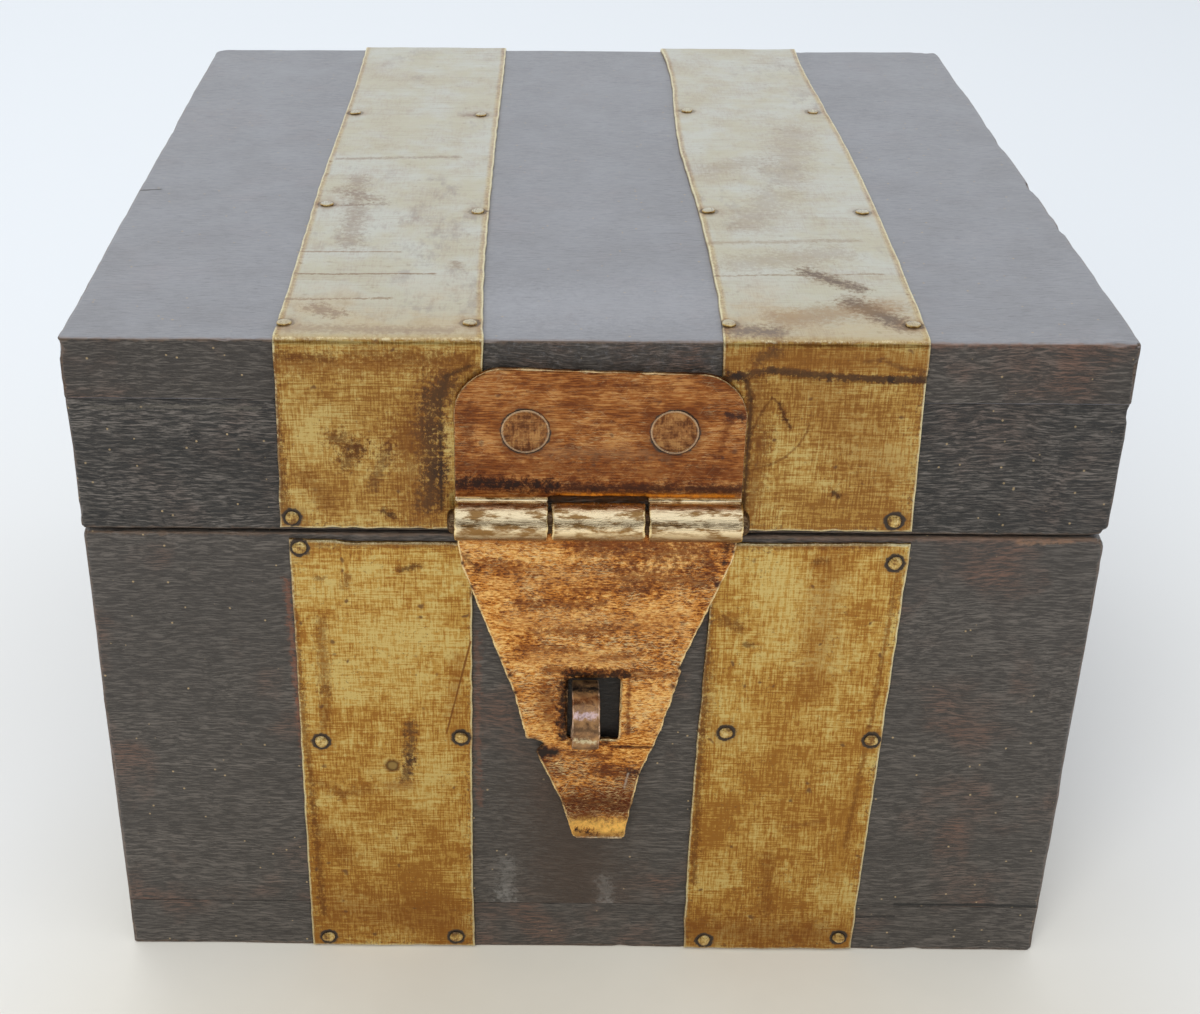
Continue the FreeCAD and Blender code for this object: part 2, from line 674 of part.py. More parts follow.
def build():
    """All the nodes of the box, by name."""
    front = Y * -1
    lid_left = lid_strap_shift - lid_strap_spacing / 2
    lid_right = lid_strap_shift + lid_strap_spacing / 2
    case_left = case_strap_shift - case_strap_spacing / 2
    case_right = case_strap_shift + case_strap_spacing / 2
    lid_left_edge = lid_left - lid_strap_width / 2
    lid_right_edge = lid_right - lid_strap_width / 2
    case_left_edge = case_left - case_strap_width / 2
    case_right_edge = case_right - case_strap_width / 2
    front_y = -half_depth - strap_sheet
    back_y = half_depth + strap_sheet
    left_hinge = back_span(lid_left, lid_left_top_shares)
    right_hinge = back_span(lid_right, lid_right_top_shares)

    def lid_front(left, shares):
        return face_places(left, lid_strap_width, lid_bottom, lid_height, front_y, shares)

    def case_front(left, shares):
        return face_places(left, case_strap_width, 0, case_height, front_y, shares)

    def back(span, low, height, shares):
        return face_places(span[0], span[1] - span[0], low, height, back_y, shares)

    top_tacks = top_places(lid_left_edge, lid_left_top_tack_shares)
    top_tacks += top_places(lid_right_edge, lid_right_top_tack_shares)
    lid_front_tacks = lid_front(lid_left_edge, lid_left_front_tack_shares)
    lid_front_tacks += lid_front(lid_right_edge, lid_right_front_tack_shares)
    lid_back_tacks = []
    case_back_tacks = []
    for span in (left_hinge, right_hinge):
        lid_back_tacks += back(span, lid_bottom, lid_height, lid_back_tack_shares)
        case_back_tacks += back(span, 0, case_height, case_back_tack_shares)
    case_front_tacks = case_front(case_left_edge, case_left_front_tack_shares)
    case_front_tacks += case_front(case_right_edge, case_right_front_tack_shares)
    lid_pins = lid_front(lid_left_edge, lid_left_flush_shares)
    lid_pins += lid_front(lid_right_edge, lid_right_flush_shares)
    case_pins = case_front(case_left_edge, case_left_flush_shares)

    case_z = (board, case_height)
    rail_z = (lid_bottom, box_height - board)
    nodes = {}

    wall = end_wall(case_half_width, -1, case_z, arris, joint_arris)
    wall = pin_holed(tack_holed(staple_holed(wall), case_front_tacks, front), case_pins, front)
    nodes["case_front_board"] = nail_holed(wall)
    wall = end_wall(case_half_width, 1, case_z, arris, joint_arris)
    nodes["case_back_board"] = nail_holed(tack_holed(wall, case_back_tacks, Y))
    nodes["case_left_board"] = nail_holed(side_wall(case_half_width, -1, case_z, seam_end_arris, joint_arris))
    nodes["case_right_board"] = nail_holed(side_wall(case_half_width, 1, case_z, seam_end_arris, joint_arris))
    floor = nail_holed(flat_board(case_half_width, (0, board), joint_arris, arris))
    floor = tack_holed(floor, case_front_tacks, front)
    nodes["case_bottom_board"] = tack_holed(floor, case_back_tacks, Y)

    for name, centre, shares in (
        ("left", case_left, case_left_front_shares), ("right", case_right, case_right_front_shares),
    ):
        strap = tack_holed(case_front_strap(centre, shares), case_front_tacks, front)
        nodes["case_front_strap_" + name] = pin_holed(strap, case_pins, front)
    for name, span in (("left", left_hinge), ("right", right_hinge)):
        nodes["case_back_strap_" + name] = tack_holed(case_back_strap(span), case_back_tacks, Y)
        pin = hinge_pin(span, hinge_axis_y, seam_middle, hinge_bore_radius, hinge_pin_proud)
        nodes["hinge_pin_" + name] = pin
    nodes["hasp_staple"] = hasp_staple()

    top = flat_board(half_width, (box_height - board, box_height), lid_arris, joint_arris)
    nodes["lid_top_board"] = tack_holed(top, top_tacks, Z)
    rail = end_wall(half_width, -1, rail_z, joint_arris, arris)
    rail = pin_holed(tack_holed(rivet_holed(rail), lid_front_tacks, front), lid_pins, front)
    nodes["lid_front_rail"] = rail
    rail = end_wall(half_width, 1, rail_z, joint_arris, arris)
    nodes["lid_back_rail"] = tack_holed(rail, lid_back_tacks, Y)
    nodes["lid_left_rail"] = side_wall(half_width, -1, rail_z, joint_arris, seam_end_arris)
    nodes["lid_right_rail"] = side_wall(half_width, 1, rail_z, joint_arris, seam_end_arris)

    for name, centre, front_shares, top_shares in (
        ("left", lid_left, lid_left_front_shares, lid_left_top_shares),
        ("right", lid_right, lid_right_front_shares, lid_right_top_shares),
    ):
        strap = tack_holed(lid_strap(centre, front_shares, top_shares), top_tacks, Z)
        strap = tack_holed(tack_holed(strap, lid_front_tacks, front), lid_back_tacks, Y)
        nodes["lid_strap_" + name] = pin_holed(strap, lid_pins, front)

    nodes["hasp_plate"] = hasp_plate()
    nodes["hasp_leaf"] = hasp_leaf()
    spans = hasp_spans()
    hasp_x = (spans[0][0], spans[2][1])
    nodes["hasp_pin"] = hinge_pin(hasp_x, hasp_axis_y, hasp_axis_z, hasp_bore_radius, hasp_pin_proud)
    nodes["hasp_plate_rivets"] = Part.makeCompound([placed(rivet(), place, front) for place in rivet_places()])

    def tacks(places, outward):
        return [placed(tack(), place, outward) for place in places]

    lid_front_and_back = tacks(lid_front_tacks, front) + tacks(lid_back_tacks, Y)
    nodes["lid_top_tacks"] = Part.makeCompound(tacks(top_tacks, Z))
    nodes["lid_side_tacks"] = Part.makeCompound(lid_front_and_back)
    nodes["case_front_tacks"] = Part.makeCompound(tacks(case_front_tacks, front))
    nodes["case_back_tacks"] = Part.makeCompound(tacks(case_back_tacks, Y))
    nodes["lid_flush_pins"] = Part.makeCompound([flush_pin(place, front) for place in lid_pins])
    nodes["case_flush_pin"] = flush_pin(case_pins[0], front)
    nails = [placed(bottom_nail(), place, Z) for place in nail_places()]
    nodes["case_bottom_nails"] = Part.makeCompound(nails)
    return nodes


def main():
    """Build every node, print what it is and write it out."""
    os.makedirs("parts", exist_ok=True)
    for name, shape in sorted(build().items()):
        solids = len(shape.Solids)
        print(f"{name}: {solids} solid(s), {shape.Volume:.1f} mm3, valid {shape.isValid()}")
        shape.exportStep(f"parts/{name}.step")
    print(f"lid hinge axis: y {hinge_axis_y:.3f}, z {seam_middle:.3f}")
    print(f"hasp hinge axis: y {hasp_axis_y:.3f}, z {hasp_axis_z:.3f}")


main()
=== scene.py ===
"""Looks of a brass-strapped dark wood box with a hinged lid, a hasp and a staple.

Lengths in this file are millimetres unless a name says otherwise. The box stands on z = 0, its front
faces -Y, and every piece is made in the place that the construction model gives it.
"""

import enum
import functools
import itertools
import json
import logging
import math
import random
from dataclasses import dataclass, field, replace
from typing import Callable, Sequence

import bmesh
import bpy
import numpy as np
from mathutils import Matrix, Vector
from mathutils.bvhtree import BVHTree


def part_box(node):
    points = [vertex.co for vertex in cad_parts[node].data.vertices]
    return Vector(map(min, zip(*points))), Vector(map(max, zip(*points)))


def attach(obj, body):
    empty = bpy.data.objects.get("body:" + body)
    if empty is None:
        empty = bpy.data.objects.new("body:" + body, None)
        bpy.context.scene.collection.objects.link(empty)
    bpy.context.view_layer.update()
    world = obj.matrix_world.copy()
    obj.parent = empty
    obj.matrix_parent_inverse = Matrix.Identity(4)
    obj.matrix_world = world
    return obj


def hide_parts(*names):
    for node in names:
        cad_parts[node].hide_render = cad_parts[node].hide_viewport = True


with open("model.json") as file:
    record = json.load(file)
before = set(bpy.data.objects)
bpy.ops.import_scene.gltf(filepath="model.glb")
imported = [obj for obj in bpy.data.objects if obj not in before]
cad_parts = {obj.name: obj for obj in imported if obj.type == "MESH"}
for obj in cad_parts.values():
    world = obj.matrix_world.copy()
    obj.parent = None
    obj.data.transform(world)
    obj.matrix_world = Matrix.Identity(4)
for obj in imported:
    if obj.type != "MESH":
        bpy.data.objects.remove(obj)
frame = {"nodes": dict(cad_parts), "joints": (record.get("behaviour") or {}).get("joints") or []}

LOG = logging.getLogger("box")
MM = 0.001

Array = np.ndarray
Triple = tuple[float, float, float]
Material = bpy.types.Material
Node = bpy.types.Node
Socket = bpy.types.NodeSocket
Sockets = bpy.types.bpy_prop_collection
Thing = bpy.types.Object
Tree = bpy.types.NodeTree
Value = Socket | float | int | Sequence[float]
Point = tuple[float, float]
Profile = tuple[Point, ...]
Rows = tuple[tuple[object, ...], ...]
Outputs = dict[str, Socket]


class GrainAxis(enum.Enum):
    """The way a board's grain runs, as the share of each coordinate that its pattern keeps."""

    ALONG_X = (0.085, 1.0, 1.0)
    ALONG_Y = (1.0, 0.085, 1.0)


class Outward(enum.Enum):
    """The side of the box that a fastener's head looks to."""

    FRONT = (0.0, -1.0, 0.0)
    BACK = (0.0, 1.0, 0.0)
    UP = (0.0, 0.0, 1.0)


class Waves:
    """A smooth, repeatable unevenness: a sum of plane waves with values from about -1 to 1."""

    def __init__(self, seed: int, length: float, stretch: Triple = (1.0, 1.0, 1.0), count: int = 14) -> None:
        """Choose the waves.

        Args:
            seed: Fixes the choice.
            length: The middle wavelength.
            stretch: How much longer the waves are along each axis.
            count: How many waves are added.
        """
        draw = random.Random(seed)
        directions = []
        for _ in range(count):
            way = Vector((draw.gauss(0, 1), draw.gauss(0, 1), draw.gauss(0, 1))).normalized()
            number = 2 * math.pi / (length * draw.uniform(0.55, 1.7))
            directions.append([way[axis] * number / stretch[axis] for axis in range(3)])
        self.directions = np.array(directions)
        self.phases = np.array([draw.uniform(0, 2 * math.pi) for _ in range(count)])

    def at(self, points: Array) -> Array:
        """The value at each point."""
        total = np.sin(points @ self.directions.T + self.phases).sum(1)
        return total / math.sqrt(len(self.phases))

    def share(self, points: Array) -> Array:
        """The value at each point, held between 0 and 1."""
        return (1 + np.clip(self.at(points), -1, 1)) / 2


def smooth(value: Array) -> Array:
    """A soft step from 0 to 1 of values held between 0 and 1."""
    held = np.clip(value, 0, 1)
    return held * held * (3 - 2 * held)


def away_from_segment(points: Array, start: Triple, end: Triple) -> Array:
    """The distance of each point from a straight stretch.

    Args:
        points: The points.
        start: One end of the stretch.
        end: Its other end.

    Returns:
        One distance for each point.
    """
    a, b = np.array(start), np.array(end)
    along = b - a
    share = np.clip(((points - a) @ along) / max(float(along @ along), 1e-9), 0, 1)
    return np.linalg.norm(points - a - share[:, None] * along, axis=1)


@dataclass
class Shape:
    """Points and faces of a mesh in the making, with how near each point lies to a worn edge."""

    points: Array
    faces: list[list[int]]
    edge: Array

    @staticmethod
    def joined(shapes: list["Shape"]) -> "Shape":
        """Several shapes as one.

        Args:
            shapes: The shapes, in order.

        Returns:
            Their points and faces in one shape.
        """
        faces: list[list[int]] = []
        start = 0
        for shape in shapes:
            faces += [[start + corner for corner in face] for face in shape.faces]
            start += len(shape.points)
        points = np.concatenate([shape.points for shape in shapes])
        return Shape(points, faces, np.concatenate([shape.edge for shape in shapes]))

    def piece(self, name: str, crease_degrees: float = 50.0) -> Thing:
        """Make the shape a mesh object in the scene.

        Args:
            name: The piece's name.
            crease_degrees: Faces that meet at more than this stay crisp.

        Returns:
            The object, in metres, with its origin at the box's.
        """
        mesh = bpy.data.meshes.new(name)
        mesh.from_pydata((self.points * MM).tolist(), [], self.faces)
        mesh.validate()
        mesh.shade_smooth()
        mesh.set_sharp_from_angle(angle=math.radians(crease_degrees))
        worn = mesh.attributes.new("edge", "FLOAT", "POINT")
        worn.data.foreach_set("value", self.edge.astype(np.float32))
        made = bpy.data.objects.new(name, mesh)
        bpy.context.scene.collection.objects.link(made)
        return made


def settle(made: Thing, body: str, slot: str, material: Material, node: str) -> None:
    """Give a new piece its finish and its body, and hide the construction node that it stands for.

    Args:
        made: The piece.
        body: The body that it rides on.
        slot: Not used.
        material: Its finish.
        node: The construction node.
    """
    made.data.materials.clear()
    made.data.materials.append(material)
    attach(made, body)
    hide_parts(node)
    LOG.info("%s: %d faces, on %s", made.name, len(made.data.polygons), body)


def dress(node: str, material: Material) -> None:
    """Give a construction node that stays in view its finish.

    Args:
        node: The construction node.
        material: Its finish.
    """
    mesh = frame["nodes"][node].data
    mesh.materials.clear()
    mesh.materials.append(material)
    LOG.info("%s: kept, finished as %s", node, material.name)


def box_of(node: str) -> tuple[Array, Array]:
    """The lowest and highest corners of a construction node."""
    low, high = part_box(node)
    return np.array(low) / MM, np.array(high) / MM


def solids_of(node: str) -> list[Array]:
    """The points of each separate solid in a construction node.

    Args:
        node: The construction node.

    Returns:
        For each solid its points.
    """
    work = bmesh.new()
    work.from_mesh(frame["nodes"][node].data)
    bmesh.ops.remove_doubles(work, verts=work.verts, dist=1e-6)
    found, seen = [], set()
    for vert in work.verts:
        if vert.index in seen:
            continue
        seen.add(vert.index)
        island, queue = [], [vert]
        while queue:
            here = queue.pop()
            island.append(tuple(here.co))
            for link in here.link_edges:
                other = link.other_vert(here)
                if other.index not in seen:
                    seen.add(other.index)
                    queue.append(other)
        found.append(np.array(island) / MM)
    work.free()
    return found


def head_places(node: str, dome: float) -> list[tuple[Array, Outward]]:
    """Where the fasteners of a node meet the sheet, and the side that each looks to.

    Args:
        node: The construction node.
        dome: How far a head stands above the sheet in the construction model.

    Returns:
        One place and side for each fastener.
    """
    places = []
    for points in solids_of(node):
        low, high = points.min(0), points.max(0)
        middle = (low + high) / 2
        if np.argmax(high - low) == 2:
            side = Outward.UP
        else:
            side = Outward.FRONT if middle[1] < 0 else Outward.BACK
        way = np.array(side.value)
        tip = np.where(way > 0, high, np.where(way < 0, low, middle))
        places.append((tip - way * dome, side))
    return places


def turned(profile: Profile, place: Array, side: Outward, seed: int,
           uneven: float = 0.04, segments: int = 28) -> Shape:
    """A slightly uneven turned solid, such as a tack or rivet.

    Args:
        profile: Radius and height from the crown, on the axis, to the foot, on the axis.
        place: Where height 0 lies on the axis.
        side: The way that height grows.
        seed: Fixes the unevenness.
        uneven: The share by which the radius wanders.
        segments: Points round the axis.

    Returns:
        The closed shape.
    """
    draw = random.Random(seed)
    phases = [draw.uniform(0, 2 * math.pi) for _ in range(4)]
    lean = (draw.uniform(-0.05, 0.05), draw.uniform(-0.05, 0.05))
    way = Vector(side.value)
    turn = way.to_track_quat("Z", "Y").to_matrix()
    angles = np.arange(segments) * 2 * math.pi / segments
    wander = sum(np.sin(angles * (k + 2) + phase) / (k + 1) for k, phase in enumerate(phases))
    rings = []
    for radius, height in profile[1:-1]:
        around = radius * (1 + uneven * wander * min(radius, 1.5) / 1.5)
        level = height + (around * np.cos(angles) * lean[0] + around * np.sin(angles) * lean[1])
        rings.append(np.stack([around * np.cos(angles), around * np.sin(angles), level], 1))
    local = np.concatenate([[[0, 0, profile[0][1]]], *rings, [[0, 0, profile[-1][1]]]])
    points = local @ np.array(turn).T + place
    faces: list[list[int]] = []
    for k in range(segments):
        after = (k + 1) % segments
        faces.append([0, 1 + k, 1 + after])
        for ring in range(len(rings) - 1):
            first, second = 1 + ring * segments, 1 + (ring + 1) * segments
            faces.append([first + k, second + k, second + after, first + after])
        last = 1 + (len(rings) - 1) * segments
        faces.append([last + after, last + k, len(local) - 1])
    radii = [0.0] + [r for r, _ in profile[1:-1] for _ in range(segments)] + [0.0]
    rim = max(r for r, h in profile)
    edge = smooth((np.array(radii) / rim - 0.8) / 0.2)
    return Shape(points, faces, edge)


@dataclass(frozen=True)
class Mark:
    """A stain, scuff, scored line or patch of painted light along a straight stretch of a surface.

    Attributes:
        start: One end.
        end: The other end, or the same point for a blot.
        width: Half of its breadth.
        colour: What it shows.
        strength: From 0 to 1.
        ragged: How far its border wanders.
        depth: How deep it is cut, as a share of the finish's relief.
        dull: What it adds to the roughness.
    """

    start: Triple
    end: Triple
    width: float
    colour: Triple
    strength: float = 1.0
    ragged: float = 0.3
    depth: float = 0.0
    dull: float = 0.0


def laid(rows: Rows, place: Callable[[float, float], Triple]) -> tuple[Mark, ...]:
    """Marks along bent lines.

    Args:
        rows: For each line its corners, then the width, colour and so on of its marks, in a mark's order.
        place: Where a corner of two values lies. A corner of three values is a place already.

    Returns:
        A mark for each straight stretch.
    """
    made = []
    for corners, *values in rows:
        places = [corner if len(corner) == 3 else place(*corner) for corner in corners]
        made += [Mark(start, end, *values) for start, end in zip(places, places[1:])]
    return tuple(made)


def on_front(depth: float, rows: Rows) -> tuple[Mark, ...]:
    """Marks on an upright front face, at x and z, where depth is how far it is from the middle."""
    return laid(rows, lambda x, z: (x, -depth, z))


def on_top(height: float, rows: Rows) -> tuple[Mark, ...]:
    """Marks on a level face, at x and y."""
    return laid(rows, lambda x, y: (x, y, height))


class Graph:
    """A short way to write shader nodes in one tree."""

    def __init__(self, tree: Tree) -> None:
        """Start on a tree as it is."""
        self.tree = tree

    def add(self, kind: str, inputs: dict[str | int, Value] | None = None, **settings: object) -> Node:
        """Add a node.

        Args:
            kind: The node's type name.
            inputs: Values or sockets for its inputs.
            settings: Properties of the node.

        Returns:
            The node.
        """
        node = self.tree.nodes.new(kind)
        for name, value in settings.items():
            setattr(node, name, value)
        for key, value in (inputs or {}).items():
            self.put(node.inputs[key], value)
        return node

    def put(self, socket: Socket, value: Value) -> None:
        """Link a socket to an input, or set the input's own value.

        Args:
            socket: The input.
            value: A socket, a number, or a vector or colour of three values.
        """
        if isinstance(value, Socket):
            self.tree.links.new(value, socket)
        elif socket.type == "RGBA" and not isinstance(value, (int, float)) and len(value) == 3:
            socket.default_value = (*value, 1.0)
        else:
            socket.default_value = value

    def math(self, operation: str, a: Value, b: Value = 0.5, clamp: bool = False) -> Socket:
        """A sum of one kind on two numbers."""
        return self.add("ShaderNodeMath", {0: a, 1: b}, operation=operation, use_clamp=clamp).outputs[0]

    times = functools.partialmethod(math, "MULTIPLY")
    plus = functools.partialmethod(math, "ADD")
    minus = functools.partialmethod(math, "SUBTRACT")

    def vector(self, operation: str, a: Value, b: Value = (0, 0, 0)) -> Socket:
        """A sum on vectors that gives a vector."""
        return self.add("ShaderNodeVectorMath", {0: a, 1: b}, operation=operation).outputs["Vector"]

    def scalar(self, operation: str, a: Value, b: Value = (0, 0, 0)) -> Socket:
        """A sum on vectors that gives a number."""
        return self.add("ShaderNodeVectorMath", {0: a, 1: b}, operation=operation).outputs["Value"]

    def scaled(self, vector: Value, factor: Value) -> Socket:
        """A vector times a number."""
        node = self.add("ShaderNodeVectorMath", {0: vector, "Scale": factor}, operation="SCALE")
        return node.outputs["Vector"]

    def mix(self, factor: Value, a: Value, b: Value, blend: str = "MIX") -> Socket:
        """A mixture of two colours."""
        inputs = {0: factor, 6: a, 7: b}
        return self.add("ShaderNodeMix", inputs, data_type="RGBA", blend_type=blend).outputs[2]

    def between(self, factor: Value, a: Value, b: Value) -> Socket:
        """A mixture of two numbers."""
        return self.add("ShaderNodeMix", {0: factor, 2: a, 3: b}, data_type="FLOAT").outputs[0]

    def span(self, value: Value, low: Value, high: Value, to: tuple[Value, Value] = (0.0, 1.0)) -> Socket:
        """A soft step as a value goes from low to high."""
        inputs = {"Value": value, "From Min": low, "From Max": high, "To Min": to[0], "To Max": to[1]}
        return self.add("ShaderNodeMapRange", inputs, interpolation_type="SMOOTHSTEP").outputs[0]

    def noise(self, position: Value, scale: Value, detail: float = 2.0, roughness: float = 0.5) -> Socket:
        """Cloudy values from 0 to 1."""
        inputs = {"Vector": position, "Scale": scale, "Detail": detail, "Roughness": roughness}
        return self.add("ShaderNodeTexNoise", inputs).outputs[0]

    def noise_vector(self, position: Value, scale: Value, detail: float = 2.0) -> Socket:
        """Cloudy vectors about zero."""
        node = self.add("ShaderNodeTexNoise", {"Vector": position, "Scale": scale, "Detail": detail})
        return self.vector("SUBTRACT", node.outputs[1], (0.5, 0.5, 0.5))

    def part(self, position: Value, axis: str) -> Socket:
        """One coordinate of a place."""
        return self.add("ShaderNodeSeparateXYZ", {0: position}).outputs[axis]

    def layered(self, colour: Value, *layers: tuple[Value, Value]) -> Value:
        """Lay colours over a first one, in order, each by its share."""
        return functools.reduce(lambda below, layer: self.mix(layer[0], below, layer[1]), layers, colour)

    def place(self, group: Callable[[], Tree], position: Value, **inputs: Value) -> Sockets:
        """Place an effect's group with its own values."""
        return self.add("ShaderNodeGroup", {"Position": position, **inputs}, node_tree=group()).outputs


Fill = Callable[..., Outputs]
ORIGIN = (0.0, 0.0, 0.0)
UP = (0.0, 0.0, 1.0)


def group(name: str, first_values: dict[str, float | Triple], fill: Fill) -> Tree:
    """Write a node group.

    Args:
        name: Its name.
        first_values: Its inputs and their first values.
        fill: Writes its nodes from those inputs and gives its outputs.

    Returns:
        The group.
    """
    tree = bpy.data.node_groups.new(name, "ShaderNodeTree")
    for label, value in first_values.items():
        kind = "NodeSocketVector" if isinstance(value, tuple) else "NodeSocketFloat"
        socket = tree.interface.new_socket(name=label, in_out="INPUT", socket_type=kind)
        socket.default_value = value
    graph = Graph(tree)
    inputs = graph.add("NodeGroupInput").outputs
    made = fill(graph, *(inputs[label] for label in first_values))
    for label in made:
        tree.interface.new_socket(name=label, in_out="OUTPUT", socket_type="NodeSocketFloat")
    graph.add("NodeGroupOutput", made)
    return tree


def effect(name: str, **first_values: float | Triple) -> Callable[[Fill], Callable[[], Tree]]:
    """Make the function below it a surface effect that several finishes share.

    Args:
        name: The name of its node group.
        first_values: The inputs and their first values. The piece's place comes before them.

    Returns:
        What turns that function into one that gives the group, built on its first use.
    """
    inputs = {"Position": ORIGIN, **first_values}
    return lambda fill: functools.cache(lambda: group(name, inputs, fill))


@effect("open_grain", Stretch=GrainAxis.ALONG_X.value)
def grain(g: Graph, place: Socket, stretch: Socket) -> Outputs:
    """Weathered open grain: wavy ridges, short pores, slow bands and their relief.

    Args:
        g: The graph.
        place: The place on the piece.
        stretch: The share of each coordinate that the pattern keeps.

    Returns:
        The masks Ridges and Pores, the slow Bands and the Height.
    """
    slow = g.scaled(g.noise_vector(place, 0.03, 1.0), 4.5)
    quick = g.scaled(g.noise_vector(place, 0.2, 1.0), 0.7)
    bent = g.vector("ADD", place, g.vector("ADD", slow, quick))
    drawn = g.vector("MULTIPLY", bent, stretch)
    ridges = g.span(g.noise(drawn, 3.0, 4.0, 0.72), 0.4, 0.6)
    pores = g.span(g.noise(g.vector("ADD", drawn, (31.0, 17.0, 5.0)), 4.2, 2.0, 0.55), 0.56, 0.66)
    bands = g.noise(drawn, 0.16, 2.0, 0.5)
    height = g.minus(ridges, g.times(pores, 0.55))
    return {"Ridges": ridges, "Pores": pores, "Bands": bands, "Height": height}


@effect("rubbing_marks", First=(0.06, 1.0, 1.0), Second=(1.0, 0.08, 0.08))
def hatch(g: Graph, place: Socket, first: Socket, second: Socket) -> Outputs:
    """Fine rubbing marks of a cloth or abrasive, crossed along two axes.

    Args:
        g: The graph.
        place: The place on the piece.
        first: The share of each coordinate that the first set of lines keeps.
        second: The same for the second set.

    Returns:
        The mask Lines.
    """
    sets = [g.noise(g.vector("MULTIPLY", place, way), 3.2, 2.0, 0.6) for way in (first, second)]
    return {"Lines": g.span(g.times(g.plus(*sets), 0.5), 0.4, 0.6)}


@effect("fine_scratches", Amount=0.0)
def scratches(g: Graph, place: Socket, amount: Socket) -> Outputs:
    """Fine bright scratches that cross at a few slants, the first three slants shorter and stronger.

    Args:
        g: The graph.
        place: The place on the piece.
        amount: What it adds to how many there are.

    Returns:
        Their Mask.
    """
    total: Socket | float = 0.0
    where = g.span(g.noise(place, 0.12, 2.0, 0.6), 0.35, 0.6)
    high = g.minus(0.74, amount)
    low = g.minus(0.66, amount)
    for number, slant in enumerate((0.03, -0.12, 0.24, 1.0, -0.7)):
        keep, shown = (0.09, 1.0) if number < 3 else (0.05, 0.6)
        turn = g.add("ShaderNodeVectorRotate", {"Vector": place, "Angle": slant}, rotation_type="Y_AXIS")
        drawn = g.vector("MULTIPLY", turn.outputs[0], (keep, 1.0, 1.0))
        lines = g.noise(g.vector("ADD", drawn, (0, 0, 19.0 * number)), 5.5, 2.0, 0.6)
        total = g.math("MAXIMUM", total, g.times(g.span(lines, low, high), shown))
    return {"Mask": g.times(total, where)}


@effect("tarnish", Blotch_Size=0.1, Rim=0.0, Stretch=(1.0, 1.0, 1.0), Grit_Size=0.75)
def tarnish(g: Graph, place: Socket, blotch_size: Socket, rim: Socket, stretch: Socket,
            grit_size: Socket) -> Outputs:
    """Blotches, small specks and a few larger spots of tarnish.

    Args:
        g: The graph.
        place: The place on the piece.
        blotch_size: Scale of the blotches.
        rim: Where an edge is near, which gathers specks.
        stretch: The share of each coordinate that blotches and grit keep.
        grit_size: Scale of the grit.

    Returns:
        The masks Blotches, Specks and Spots, and the fine Grit.
    """
    bent = g.vector("ADD", place, g.scaled(g.noise_vector(place, 0.3, 3.0), 3.0))
    blotch = g.noise(g.vector("MULTIPLY", bent, stretch), blotch_size, 5.0, 0.66)
    fine = g.plus(g.noise(place, 1.7, 4.0, 0.72), g.times(rim, 0.075))
    where = g.noise(g.vector("ADD", place, (7.0, 3.0, 11.0)), 0.11, 2.0, 0.6)
    specks = g.times(g.span(fine, 0.56, 0.72), g.span(where, 0.38, 0.62, (0.35, 1.0)))
    cells = g.add("ShaderNodeTexVoronoi", {"Vector": bent, "Scale": 0.33}).outputs
    pick = g.math("GREATER_THAN", g.add("ShaderNodeSeparateColor", {0: cells["Color"]}).outputs[0], 0.8)
    spots = g.times(g.span(cells["Distance"], 0.24, 0.08), pick)
    grit = g.noise(g.vector("MULTIPLY", place, stretch), grit_size, 6.0, 0.78)
    return {"Blotches": g.span(blotch, 0.3, 0.7), "Specks": specks, "Spots": spots, "Grit": grit}


@effect("handled_film")
def handled_film(g: Graph, place: Socket) -> Outputs:
    """What years of wiping leave on a flat sheet: smudges, long fine lines and a slow drift of tone.

    Args:
        g: The graph.
        place: The place on the piece.

    Returns:
        The masks Smudges, Lines and Drift.
    """
    drawn = g.vector("MULTIPLY", place, (1.0, 0.4, 1.0))
    cloud = g.noise(g.vector("ADD", drawn, (3.0, 8.0, 1.0)), 0.2, 6.0, 0.72)
    where = g.span(g.noise(place, 0.028, 1.0, 0.5), 0.4, 0.62)
    smudges = g.times(g.span(cloud, 0.5, 0.66), where)
    long = g.vector("MULTIPLY", place, (0.045, 1.0, 1.0))
    lines = g.span(g.noise(long, 1.5, 4.0, 0.72), 0.52, 0.68)
    drift = g.span(g.noise(place, 0.07, 4.0, 0.65), 0.35, 0.65)
    return {"Smudges": smudges, "Lines": lines, "Drift": drift}


@effect("worn_edge", Scale=0.6, Break=1.0, Low=0.45)
def worn_edge(g: Graph, place: Socket, scale: Socket, breaks: Socket, low: Socket) -> Outputs:
    """How far an edge is rubbed bright or bare, from the mesh's own edge values.

    Args:
        g: The graph.
        place: The place on the piece.
        scale: Scale of the breaks in the rubbed line.
        breaks: How strongly it is broken up.
        low: The edge value from which metal or wood is rubbed.

    Returns:
        The rubbed Mask and the wider Rim.
    """
    edge = g.add("ShaderNodeAttribute", attribute_name="edge", attribute_type="GEOMETRY").outputs["Fac"]
    cloud = g.minus(g.noise(place, scale, 3.0, 0.65), 0.5)
    broken = g.plus(edge, g.times(cloud, breaks))
    return {"Mask": g.span(broken, low, 0.85), "Rim": g.span(edge, 0.03, 0.6)}


